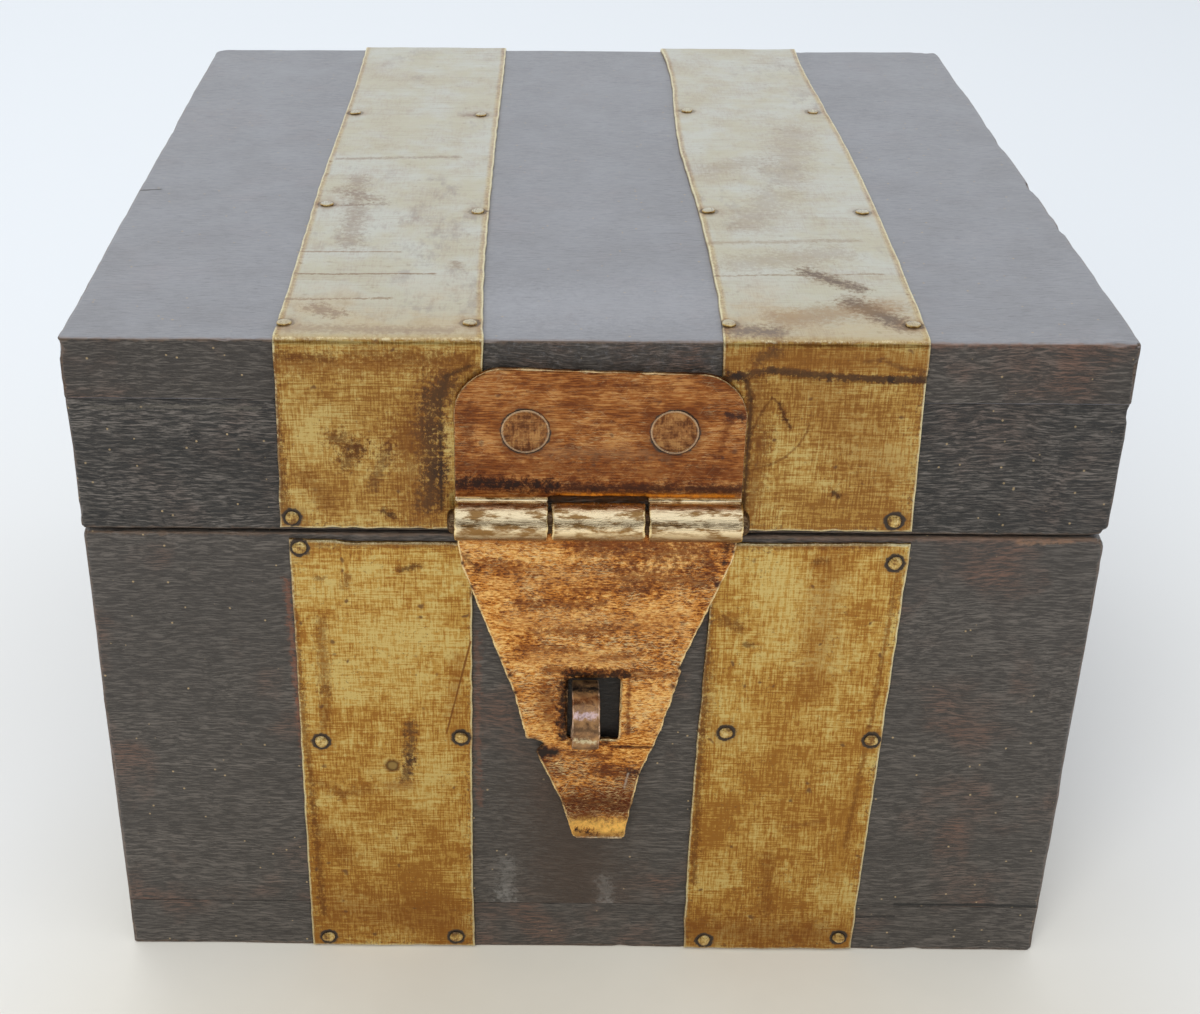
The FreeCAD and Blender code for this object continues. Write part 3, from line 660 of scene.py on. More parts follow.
@effect("drawn_mark", Start=ORIGIN, End=ORIGIN, Width=1.0, Ragged=0.3, Cloud=0.5, Full=1.0)
def drawn_mark(g: Graph, place: Socket, start: Socket, end: Socket, width: Socket, ragged: Socket,
               cloud: Socket, full: Socket) -> Outputs:
    """A soft ragged mark along one straight stretch.

    Args:
        g: The graph.
        place: The place on the piece.
        start: One end of the stretch.
        end: Its other end.
        width: How far the mark reaches from it.
        ragged: How far its border wanders.
        cloud: The noise that its border follows.
        full: How far inside the border it reaches its full strength.

    Returns:
        Its Mask.
    """
    along = g.vector("SUBTRACT", end, start)
    off = g.vector("SUBTRACT", place, start)
    long = g.math("MAXIMUM", g.scalar("DOT_PRODUCT", along, along), 0.0001)
    share = g.math("DIVIDE", g.scalar("DOT_PRODUCT", off, along), long, clamp=True)
    gap = g.scalar("LENGTH", g.vector("SUBTRACT", off, g.scaled(along, share)))
    share = g.minus(1.0, g.math("DIVIDE", gap, width))
    broken = g.times(g.minus(cloud, 0.5), g.times(ragged, 4.2))
    near = g.span(share, -0.6, 0.1)
    return {"Mask": g.times(g.span(g.plus(share, broken), 0.05, full), near)}


@effect("crumbs", Scale=0.75, Rarity=0.9)
def crumbs(g: Graph, place: Socket, scale: Socket, rarity: Socket) -> Outputs:
    """Sparse round crumbs of pale dust and small pits.

    Args:
        g: The graph.
        place: The place on the piece.
        scale: Scale of the cells that hold them.
        rarity: The share of cells that stay empty.

    Returns:
        The masks Crumbs and Pits.
    """
    cells = g.add("ShaderNodeTexVoronoi", {"Vector": place, "Scale": scale}).outputs
    tone = g.add("ShaderNodeSeparateColor", {0: cells["Color"]}).outputs
    dot = g.span(cells["Distance"], 0.3, 0.16)
    return {
        label: g.times(dot, g.math("GREATER_THAN", tone[channel], rarity))
        for channel, label in enumerate(("Crumbs", "Pits"))
    }


@dataclass
class Surface:
    """The colour, roughness, relief and metallic look of one material while they are built up."""

    graph: Graph
    position: Socket
    colour: Socket
    roughness: Socket
    height: Socket
    metal: Socket | float

    def mark(self, marks: Sequence[Mark], metal_loss: float, halo: Triple = (1.0, 1.0, 1.0)) -> None:
        """Lay stains, scuffs, scored lines and painted light over the surface.

        Args:
            marks: What to lay, in order.
            metal_loss: The share of the metallic look that a mark which dulls takes away.
            halo: What the thin border of a mark multiplies the colour by.
        """
        g = self.graph
        cloud = g.noise(self.position, 1.0, 6.0, 0.78) if marks else 0.5
        for row in marks:
            drawn = g.place(
                drawn_mark, self.position, Start=row.start, End=row.end, Width=row.width * 1.6,
                Ragged=min(row.ragged / row.width, 1.0), Cloud=cloud, Full=0.6 if row.depth else 1.0,
            )
            mask = g.times(drawn["Mask"], row.strength)
            if halo[0] < 1:
                self.colour = g.mix(mask, self.colour, halo, "MULTIPLY")
            self.colour = g.mix(g.times(mask, mask), self.colour, row.colour)
            if row.depth:
                self.height = g.minus(self.height, g.times(mask, row.depth))
            if row.dull:
                self.roughness = g.plus(self.roughness, g.times(mask, row.dull), clamp=True)
                keep = g.minus(1.0, g.times(mask, metal_loss * row.dull))
                if metal_loss:
                    self.metal = g.times(self.metal, keep)

    def feed(self, shader: Node, depth: float) -> None:
        """Feed the shader.

        Args:
            shader: The material's shader.
            depth: The height of a relief of 1, in millimetres.
        """
        g = self.graph
        bump = g.add("ShaderNodeBump", {"Height": self.height, "Strength": 1.0, "Distance": depth * MM})
        looks = {
            "Base Color": self.colour, "Roughness": self.roughness, "Metallic": self.metal,
            "Normal": bump.outputs["Normal"],
        }
        for label, value in looks.items():
            g.put(shader.inputs[label], value)


SEED_SHIFT = (13.7, 7.3, 5.9)


def begin(name: str, seed: float) -> tuple[Material, Graph, Node, Socket, Socket, Socket]:
    """Start a material with its shader.

    Args:
        name: The material's name.
        seed: Moves the patterns, so that two pieces don't match.

    Returns:
        The material, its graph, its shader, the place on the piece, the same place moved by the seed,
        and the piece's own surface direction.
    """
    material = bpy.data.materials.new(name)
    material.use_nodes = True
    material.node_tree.nodes.clear()
    graph = Graph(material.node_tree)
    shader = graph.add("ShaderNodeBsdfPrincipled")
    graph.add("ShaderNodeOutputMaterial", {"Surface": shader.outputs["BSDF"]})
    source = graph.add("ShaderNodeTexCoord")
    place = graph.scaled(source.outputs["Object"], 1 / MM)
    moved = graph.vector("ADD", place, tuple(seed * part for part in SEED_SHIFT))
    return material, graph, shader, place, moved, source.outputs["Normal"]


@dataclass(frozen=True)
class WoodFinish:
    """Old dark stained wood with open grain, worn edges and a grey bloom where it faces up, partly dust and
    partly a painted reflection of the pale surroundings.
    """

    furrow: Triple = (0.030, 0.025, 0.021)
    ridge: Triple = (0.104, 0.089, 0.076)
    warm: Triple = (0.130, 0.060, 0.036)
    bare: Triple = (0.200, 0.120, 0.070)
    crumb: Triple = (0.400, 0.290, 0.150)
    crumb_rarity: float = 0.975
    # The grey bloom where the wood faces up: partly dust, partly a painted reflection of the pale
    # surroundings.
    bloom_and_sheen: Triple = (0.248, 0.253, 0.276)
    bloom_and_sheen_share: float = 0.0
    warm_share: float = 0.8
    edge_share: float = 0.35
    roughness: float = 0.55
    gloss: float = 0.25
    gloss_roughness: float = 0.34
    relief_depth: float = 0.10

    def material(self, name: str, axis: GrainAxis, seed: float, marks: Sequence[Mark] = ()) -> Material:
        """Make the finish for one board.

        Args:
            name: The material's name.
            axis: The way the grain runs.
            seed: Moves the grain.
            marks: Stains, scars and painted light of this board.

        Returns:
            The material.
        """
        material, g, shader, place, moved, facing = begin(name, seed)
        wood = g.place(grain, moved, Stretch=axis.value)
        dust = g.place(crumbs, moved, Scale=1.0, Rarity=self.crumb_rarity)["Crumbs"]
        worn = g.place(worn_edge, moved, Scale=0.5, Break=1.1)["Mask"]
        up = g.span(g.scalar("DOT_PRODUCT", facing, UP), 0.45, 0.9)
        # Faces that look up turn pale grey: partly dust bloom, partly a painted reflection of the pale
        # surroundings.
        bloom_and_sheen_mask = g.times(up, self.bloom_and_sheen_share)
        lit = g.times(wood["Ridges"], g.span(wood["Bands"], 0.25, 0.75, (0.55, 1.0)))
        tint = g.span(g.noise(moved, 0.05, 3.0, 0.6), 0.5, 0.72)
        cloud = g.span(g.noise(moved, 0.06, 5.0, 0.65), 0.3, 0.7, (0.8, 1.0))
        cloud = g.times(cloud, g.span(wood["Pores"], 0.0, 1.0, (1.0, 0.85)))
        colour = g.layered(
            self.furrow, (lit, self.ridge),
            (g.times(g.times(tint, wood["Ridges"]), self.warm_share), self.warm),
            (g.times(wood["Pores"], 0.55), self.furrow), (g.times(bloom_and_sheen_mask, cloud), self.bloom_and_sheen),
            (g.times(worn, self.edge_share), self.bare), (g.times(dust, 0.75), self.crumb),
        )
        rough = g.plus(self.roughness, g.times(wood["Pores"], 0.15))
        rough = g.minus(rough, g.times(wood["Ridges"], 0.10))
        height = g.times(wood["Height"], g.minus(1.0, g.times(bloom_and_sheen_mask, 0.8)))
        surface = Surface(g, place, colour, rough, height, 0.0)
        surface.mark(marks, 0.0)
        surface.feed(shader, self.relief_depth)
        coat = g.plus(self.gloss, g.times(up, 0.3 * self.bloom_and_sheen_share))
        g.put(shader.inputs["Coat Weight"], g.times(coat, 1.0, clamp=True))
        shader.inputs["Coat Roughness"].default_value = self.gloss_roughness
        shader.inputs["Coat IOR"].default_value = 1.5
        return material


@dataclass(frozen=True)
class BrassFinish:
    """Hand-rubbed old brass: pale rubbed metal, warm mid tones, brown tarnish and dark grime, with a painted
    sheen on faces that look up and painted light on the knuckles round a pin.

    Attributes:
        film_and_sheen: Colour laid on faces that look up, partly a film of handling and partly a painted
            reflection of the pale surroundings. The other film colours vary it.
        gold_from: The y at which that film turns golden, and where it is so in full.
        rubbed_and_highlit_axis: A pin's y and z, and the radius within which the metal round it is rubbed
            bright, with a painted highlight towards its top and painted shade towards its bottom.
        ring_radius: Radius of the grime round a fastener.
        contrast: From 1 up, how sharply the three tones part.
        sag: The heights between which the tone falls, by sag_depth.
    """

    pale: Triple = (0.70, 0.53, 0.19)
    middle: Triple = (0.57, 0.33, 0.072)
    deep: Triple = (0.37, 0.16, 0.025)
    brown: Triple = (0.17, 0.075, 0.018)
    grime: Triple = (0.034, 0.021, 0.012)
    bright: Triple = (0.78, 0.70, 0.42)
    # Colours for faces that look up: partly a film of handling, partly a painted reflection of the pale
    # surroundings.
    film_and_sheen: Triple = (0.535, 0.545, 0.485)
    film_and_sheen_warm: Triple = (0.50, 0.475, 0.355)
    film_and_sheen_line: Triple = (0.36, 0.31, 0.23)
    film_and_sheen_smudge: Triple = (0.29, 0.25, 0.225)
    film_and_sheen_gold: Triple = (0.50, 0.36, 0.15)
    gold_from: Point = (-74.0, -103.0)
    film_and_sheen_share: float = 0.0
    blotch_scale: float = 0.075
    blotch_stretch: Triple = (1.0, 1.0, 1.0)
    brown_share: float = 0.9
    lines_first: Triple = (0.06, 1.0, 1.0)
    lines_second: Triple = (1.0, 0.08, 0.08)
    line_share: float = 0.42
    blotch_share: float = 0.47
    grit_share: float = 1.1
    grit_scale: float = 0.75
    # Knuckle colours round a pin: rubbed metal, with a painted highlight towards the top and painted shade
    # towards the bottom.
    rubbed: Triple = (1.0, 0.82, 0.52)
    rubbed_deep_and_shade: Triple = (0.31, 0.17, 0.055)
    rubbed_and_highlit_axis: Triple = (0.0, 0.0, 0.0)
    scratch_share: float = 0.0
    scratch_amount: float = 0.0
    edge_share: float = 0.85
    edge_low: float = 0.62
    ring_radius: float = 2.0
    contrast: float = 2.0
    roughness: float = 0.34
    coat: float = 0.25
    coat_roughness: float = 0.3
    relief_depth: float = 0.018
    sag: Point = (0.0, 0.0)
    sag_depth: float = 0.14

    def material(self, name: str, seed: float, marks: Sequence[Mark] = (),
                 heads: Sequence[Array] = ()) -> Material:
        """Make the finish for one piece.

        Args:
            name: The material's name.
            seed: Moves the patterns.
            marks: Stains, scratches and painted light of this piece.
            heads: Middles of the fasteners that have dark rings of grime.

        Returns:
            The material.
        """
        material, g, shader, place, moved, facing = begin(name, seed)
        lines = g.place(hatch, moved, First=self.lines_first, Second=self.lines_second)["Lines"]
        edge = g.place(worn_edge, moved, Scale=0.8, Break=0.35, Low=self.edge_low)
        aged = g.place(
            tarnish, moved, Blotch_Size=self.blotch_scale, Rim=edge["Rim"], Stretch=self.blotch_stretch,
            Grit_Size=self.grit_scale,
        )
        # Faces that look up take the film colours, which are partly a painted reflection of the pale
        # surroundings.
        up = g.times(g.span(g.scalar("DOT_PRODUCT", facing, UP), 0.55, 0.92), self.film_and_sheen_share)
        up = g.times(up, g.span(edge["Rim"], 0.3, 1.0, (1.0, 0.45)))
        rest = (1 - self.line_share - self.blotch_share) / 2
        tone = g.plus(g.times(lines, self.line_share), rest)
        tone = g.plus(tone, g.times(aged["Blotches"], self.blotch_share))
        tone = g.plus(tone, g.times(g.minus(aged["Grit"], 0.5), self.grit_share))
        if self.sag[1] > self.sag[0]:
            low = g.span(g.part(place, "Z"), self.sag[1], self.sag[0])
            tone = g.minus(tone, g.times(low, self.sag_depth), clamp=True)
        reach = 0.5 - 0.5 / self.contrast
        colour = g.mix(g.span(tone, 0.12 + reach * 0.4, 0.55 - reach * 0.2), self.deep, self.middle)
        colour = g.mix(g.span(tone, 0.45 + reach * 0.2, 0.88 - reach * 0.4), colour, self.pale)
        if self.film_and_sheen_share:
            dust = g.place(handled_film, moved)
            ragged = g.plus(g.part(place, "Y"), g.times(g.minus(dust["Drift"], 0.5), 22.0))
            film_and_sheen = g.layered(
                self.film_and_sheen, (dust["Drift"], self.film_and_sheen_warm), (g.times(dust["Lines"], 0.5), self.film_and_sheen_line),
                (g.times(dust["Smudges"], 0.65), self.film_and_sheen_smudge),
                (g.span(ragged, *self.gold_from, (0.0, 0.6)), self.film_and_sheen_gold),
            )
            colour = g.mix(g.times(up, g.span(tone, 0.0, 0.6, (0.72, 1.0))), colour, film_and_sheen)
        stain = g.times(aged["Specks"], self.brown_share)
        stain = g.math("MAXIMUM", stain, g.times(aged["Spots"], self.brown_share))
        stain = g.times(stain, g.minus(1.0, g.times(up, 0.8)))
        colour = g.mix(stain, colour, self.brown)
        if self.scratch_share:
            fine = g.place(scratches, moved, Amount=self.scratch_amount)["Mask"]
            colour = g.mix(g.times(fine, self.scratch_share), colour, self.bright)
        rough = g.plus(self.roughness, g.times(stain, 0.3))
        rough = g.plus(rough, g.times(lines, 0.08))
        metal = g.minus(1.0, g.times(stain, 0.45))
        metal = g.minus(metal, g.times(up, 0.35))
        height = g.minus(lines, g.times(stain, 0.8))
        # Round a hinge pin: rubbed metal, painted lighter towards the top as a highlight and darker towards
        # the bottom as shade, in streaks along the pin as painted reflections.
        if self.rubbed_and_highlit_axis[2]:
            _, pin_height, radius = self.rubbed_and_highlit_axis
            apart = g.vector("SUBTRACT", place, (0.0, *self.rubbed_and_highlit_axis[:2]))
            apart = g.scalar("LENGTH", g.vector("MULTIPLY", apart, (0, 1, 1)))
            round_pin = g.span(apart, radius + 0.35, radius)
            drawn = g.vector("MULTIPLY", moved, (0.28, 1.0, 1.0))
            patches = g.span(g.noise(drawn, 0.6, 5.0, 0.68), 0.4, 0.58)
            highlight_towards_top = g.span(g.part(place, "Z"), pin_height - 3.4, pin_height + 1.8, (0.0, 1.6))
            handled = g.mix(g.times(patches, highlight_towards_top), self.rubbed_deep_and_shade, self.rubbed)
            colour = g.mix(g.times(round_pin, 0.92), colour, handled)
            rough = g.minus(rough, g.times(round_pin, 0.14), clamp=True)
        rub = g.times(edge["Mask"], self.edge_share)
        colour = g.mix(rub, colour, self.bright)
        rough = g.minus(rough, g.times(rub, 0.1), clamp=True)
        surface = Surface(g, place, colour, rough, height, metal)
        surface.mark(marks, 1.0, (0.62, 0.42, 0.26))
        if len(heads):
            near = functools.reduce(
                lambda a, b: g.math("MINIMUM", a, b),
                [g.scalar("DISTANCE", place, head.tolist()) for head in heads],
            )
            cloud = g.minus(g.noise(moved, 0.9, 3.0, 0.6), 0.5)
            wide = self.ring_radius
            ring = g.span(g.plus(near, g.times(cloud, 1.3)), wide + 0.35, wide - 0.1)
            halo = g.span(g.plus(near, g.times(cloud, 3.0)), wide + 2.2, wide - 0.1, (0.0, 0.55))
            shown = g.minus(1.0, g.times(up, 0.6))
            ring, halo = g.times(ring, shown), g.times(halo, shown)
            surface.colour = g.layered(surface.colour, (halo, self.deep), (ring, self.grime))
            surface.roughness = g.plus(surface.roughness, g.times(ring, 0.3), clamp=True)
            surface.metal = g.times(surface.metal, g.minus(1.0, g.times(ring, 0.7)))
        surface.feed(shader, self.relief_depth)
        shader.inputs["Coat Weight"].default_value = self.coat
        shader.inputs["Coat Roughness"].default_value = self.coat_roughness
        return material


@dataclass(frozen=True)
class IronFinish:
    """Dark handled iron with rust in its hollows and a few pits."""

    dark: Triple = (0.215, 0.118, 0.068)
    rust: Triple = (0.470, 0.255, 0.100)
    sheen: Triple = (0.880, 0.620, 0.430)
    roughness: float = 0.22
    relief_depth: float = 0.05

    def material(self, name: str, seed: float, marks: Sequence[Mark] = ()) -> Material:
        """Make the finish for one piece.

        Args:
            name: The material's name.
            seed: Moves the patterns.
            marks: Stains, rubbed places and painted light of this piece.

        Returns:
            The material.
        """
        material, g, shader, place, moved, _ = begin(name, seed)
        aged = g.place(tarnish, moved, Blotch_Size=0.35)
        pits = g.place(crumbs, moved, Scale=1.3, Rarity=0.7)["Pits"]
        worn = g.place(worn_edge, moved, Scale=0.9, Break=0.8)["Mask"]
        colour = g.layered(
            self.dark, (aged["Blotches"], self.rust), (g.times(worn, 0.85), self.sheen),
            (g.times(aged["Specks"], 0.7), self.dark),
        )
        rough = g.plus(self.roughness, g.times(aged["Blotches"], 0.18))
        height = g.minus(aged["Blotches"], pits)
        metal = g.span(aged["Blotches"], 0.0, 1.0, (0.95, 0.5))
        surface = Surface(g, place, colour, rough, height, metal)
        surface.mark(marks, 1.0)
        surface.feed(shader, self.relief_depth)
        return material


Face = tuple[int, int]
OUTER_STEPS = (0, 0.1, 0.22, 0.36, 0.52, 0.72, 0.95, 1.2, 1.5, 1.9, 2.4, 3.0, 3.8, 4.8, 6.0, 7.6)
JOINT_STEPS = (0, 0.08, 0.18, 0.35, 0.7, 1.3, 2.3, 4.0)
PLAIN_EASE = 0.22
JOINT_EASE = 0.18


@dataclass(frozen=True)
class Dent:
    """A chip or bruise in a board: a soft hollow about a middle, pushed inward."""

    middle: Triple
    reach: Triple
    push: Triple


@dataclass
class Board:
    """One board: a block with eased, worn edges, gentle unevenness and its own chips.

    Attributes:
        node: The construction node that it stands for.
        outer: The faces that show on the outside of the box, such as "-x+x-y".
        grain: The way its grain runs.
        front_corner: Radius of its upright corners at the front.
        back_corner: Radius of its upright corners at the back.
        upper: Radius of its outer edges at the top.
        lower: Radius of its outer edges at the bottom.
        special: Radii of single edges, by their two faces.
        inset: How far each named face is drawn in, where the boards don't quite line up.
        dents: Its chips.
        nicks: How many small random chips its outer edges have.
    """

    node: str
    outer: str
    grain: GrainAxis
    front_corner: float = PLAIN_EASE
    back_corner: float = PLAIN_EASE
    upper: float = PLAIN_EASE
    lower: float = PLAIN_EASE
    special: dict[str, float] = field(default_factory=dict)
    inset: dict[str, float] = field(default_factory=dict)
    dents: tuple[Dent, ...] = ()
    nicks: int = 16

    def code(self, face: Face) -> str:
        """A face's name, such as -x."""
        return ("-" if face[1] < 0 else "+") + "xyz"[face[0]]

    def radius(self, a: Face, b: Face) -> float:
        """The radius of the edge between two faces.

        Args:
            a: One face.
            b: The other, on a later axis.

        Returns:
            The radius.
        """
        names = self.code(a), self.code(b)
        if names[0] + names[1] in self.special:
            return self.special[names[0] + names[1]]
        if b[0] == 2:
            if names[0] not in self.outer:
                return JOINT_EASE
            return self.upper if b[1] > 0 else self.lower
        if names[0] in self.outer and names[1] in self.outer:
            return self.front_corner if b[1] < 0 else self.back_corner
        return PLAIN_EASE

    def lines(self, axis: int, low: float, high: float) -> Array:
        """Places of the mesh lines along one axis, close together near the edges.

        Args:
            axis: The axis.
            low: The block's lowest place on it.
            high: Its highest place.

        Returns:
            The places in rising order.
        """
        names = self.code((axis, -1)), self.code((axis, 1))
        first, last = (OUTER_STEPS if name in self.outer else JOINT_STEPS for name in names)
        room = (high - low) / 2 - 0.3
        start = [low + step for step in first if step < room]
        end = [high - step for step in last if step < room]
        step = 1.7 if self.grain is (GrainAxis.ALONG_X, GrainAxis.ALONG_Y, None)[axis] else 3.3
        count = max(int((end[-1] - start[-1]) / step), 1)
        inner = np.linspace(start[-1], end[-1], count + 1)[1:-1]
        return np.array([*start, *inner, *end[::-1]])

    def lattice(self, low: Array, high: Array) -> tuple[Array, list[list[int]]]:
        """The plain block on its mesh lines.

        Args:
            low: Its lowest corner.
            high: Its highest corner.

        Returns:
            Its points and its faces.
        """
        lines = [self.lines(axis, low[axis], high[axis]) for axis in range(3)]
        counts = tuple(len(line) for line in lines)
        skin = np.zeros(counts, bool)
        for axis in range(3):
            for end in (0, -1):
                skin[tuple(end if k == axis else slice(None) for k in range(3))] = True
        where = np.argwhere(skin)
        number = np.full(counts, -1)
        number[skin] = np.arange(len(where))
        points = np.stack([lines[axis][where[:, axis]] for axis in range(3)], 1)
        faces: list[list[int]] = []
        for axis in range(3):
            for end in (0, -1):
                sheet = number[tuple(end if k == axis else slice(None) for k in range(3))]
                corners = sheet[:-1, :-1], sheet[1:, :-1], sheet[1:, 1:], sheet[:-1, 1:]
                quads = np.stack(corners, -1).reshape(-1, 4)
                if (end == 0) != (axis == 1):
                    quads = quads[:, ::-1]
                faces += quads.tolist()
        return points, faces

    def ease(self, rest: Array, low: Array, high: Array) -> tuple[Array, Array]:
        """Round every edge, by an amount that wanders along it.

        Args:
            rest: The block's points.
            low: Its lowest corner.
            high: Its highest corner.

        Returns:
            How each point moves, and how near it is to a worn outer edge.
        """
        moved = np.zeros_like(rest)
        edge = np.zeros(len(rest))
        wander = Waves(3, 17.0).at(rest) * 0.5 + Waves(4, 5.0).at(rest) * 0.25
        for a, b in ((0, 1), (0, 2), (1, 2)):
            for side_a in (-1, 1):
                for side_b in (-1, 1):
                    base = self.radius((a, side_a), (b, side_b))
                    size = np.clip(base * (1 + 0.4 * wander), 0.06, None)
                    gap_a = rest[:, a] - low[a] if side_a < 0 else high[a] - rest[:, a]
                    gap_b = rest[:, b] - low[b] if side_b < 0 else high[b] - rest[:, b]
                    near, far = np.minimum(gap_a, gap_b), np.maximum(gap_a, gap_b)
                    arc = np.clip(size - near, 1e-6, None)
                    turn = math.pi / 4 * (1 - np.clip((far - near) / arc, 0, 1))
                    new_near = np.where(far < size, size - arc * np.cos(turn), near)
                    new_far = np.where(far < size, size - arc * np.sin(turn), far)
                    first = gap_a <= gap_b
                    moved[:, a] -= side_a * (np.where(first, new_near, new_far) - gap_a)
                    moved[:, b] -= side_b * (np.where(first, new_far, new_near) - gap_b)
                    codes = self.code((a, side_a)), self.code((b, side_b))
                    if codes[0] in self.outer and codes[1] in self.outer:
                        edge = np.maximum(edge, np.exp(-far / 1.1))
        return moved, edge

    def shape(self, seed: int) -> Shape:
        """Make the worn board.

        Args:
            seed: Fixes its small chips.

        Returns:
            The closed shape.
        """
        low, high = box_of(self.node)
        rest, faces = self.lattice(low, high)
        moved, edge = self.ease(rest, low, high)
        sway = Waves(11, 60.0, (2.0, 1.0, 1.0)).share(rest)
        fine = Waves(12, 9.0, (3.0, 1.0, 1.0)).share(rest)
        for axis in range(3):
            for side, bound in ((-1, low), (1, high)):
                code = self.code((axis, side))
                on_face = np.abs(rest[:, axis] - bound[axis]) < 1e-6
                depth = 0.16 * sway + 0.05 * fine if code in self.outer else 0.02
                moved[:, axis] -= side * np.where(on_face, depth + self.inset.get(code, 0.0), 0.0)
        for dent in (*self.dents, *self.random_nicks(seed, low, high)):
            gap = np.linalg.norm((rest - np.array(dent.middle)) / np.array(dent.reach), axis=1)
            rough = 1 + 0.35 * Waves(seed + 5, 1.6).at(rest)
            moved += smooth(1 - gap)[:, None] * np.clip(rough, 0, 2)[:, None] * np.array(dent.push)
            edge = np.maximum(edge, smooth(1.25 - gap) * 0.9)
        return Shape(rest + moved, faces, edge)

    def random_nicks(self, seed: int, low: Array, high: Array) -> list[Dent]:
        """Small chips along the outer edges.

        Args:
            seed: Fixes their places and sizes.
            low: The board's lowest corner.
            high: Its highest corner.

        Returns:
            The chips.
        """
        draw = random.Random(seed)
        sides = [face for face in itertools.product(range(3), (-1, 1)) if self.code(face) in self.outer]
        pairs = [(a, b) for a in sides for b in sides if a[0] < b[0]]
        dents = []
        for _ in range(self.nicks if pairs else 0):
            a, b = draw.choice(pairs)
            along = 3 - a[0] - b[0]
            middle = [0.0, 0.0, 0.0]
            middle[along] = draw.uniform(low[along], high[along])
            push = [0.0, 0.0, 0.0]
            for axis, side in (a, b):
                middle[axis] = float(low[axis] if side < 0 else high[axis])
                push[axis] = -side * draw.uniform(0.1, 0.32)
            reach = [draw.uniform(0.8, 1.6)] * 3
            reach[along] = draw.uniform(1.2, 3.5)
            dents.append(Dent(tuple(middle), tuple(reach), tuple(push)))
        return dents


def run_lengths(path: Array) -> Array:
    """How far along a path each of its points lies."""
    steps = np.linalg.norm(np.diff(path[:, :2], axis=0), axis=1)
    return np.concatenate([[0.0], np.cumsum(steps)])


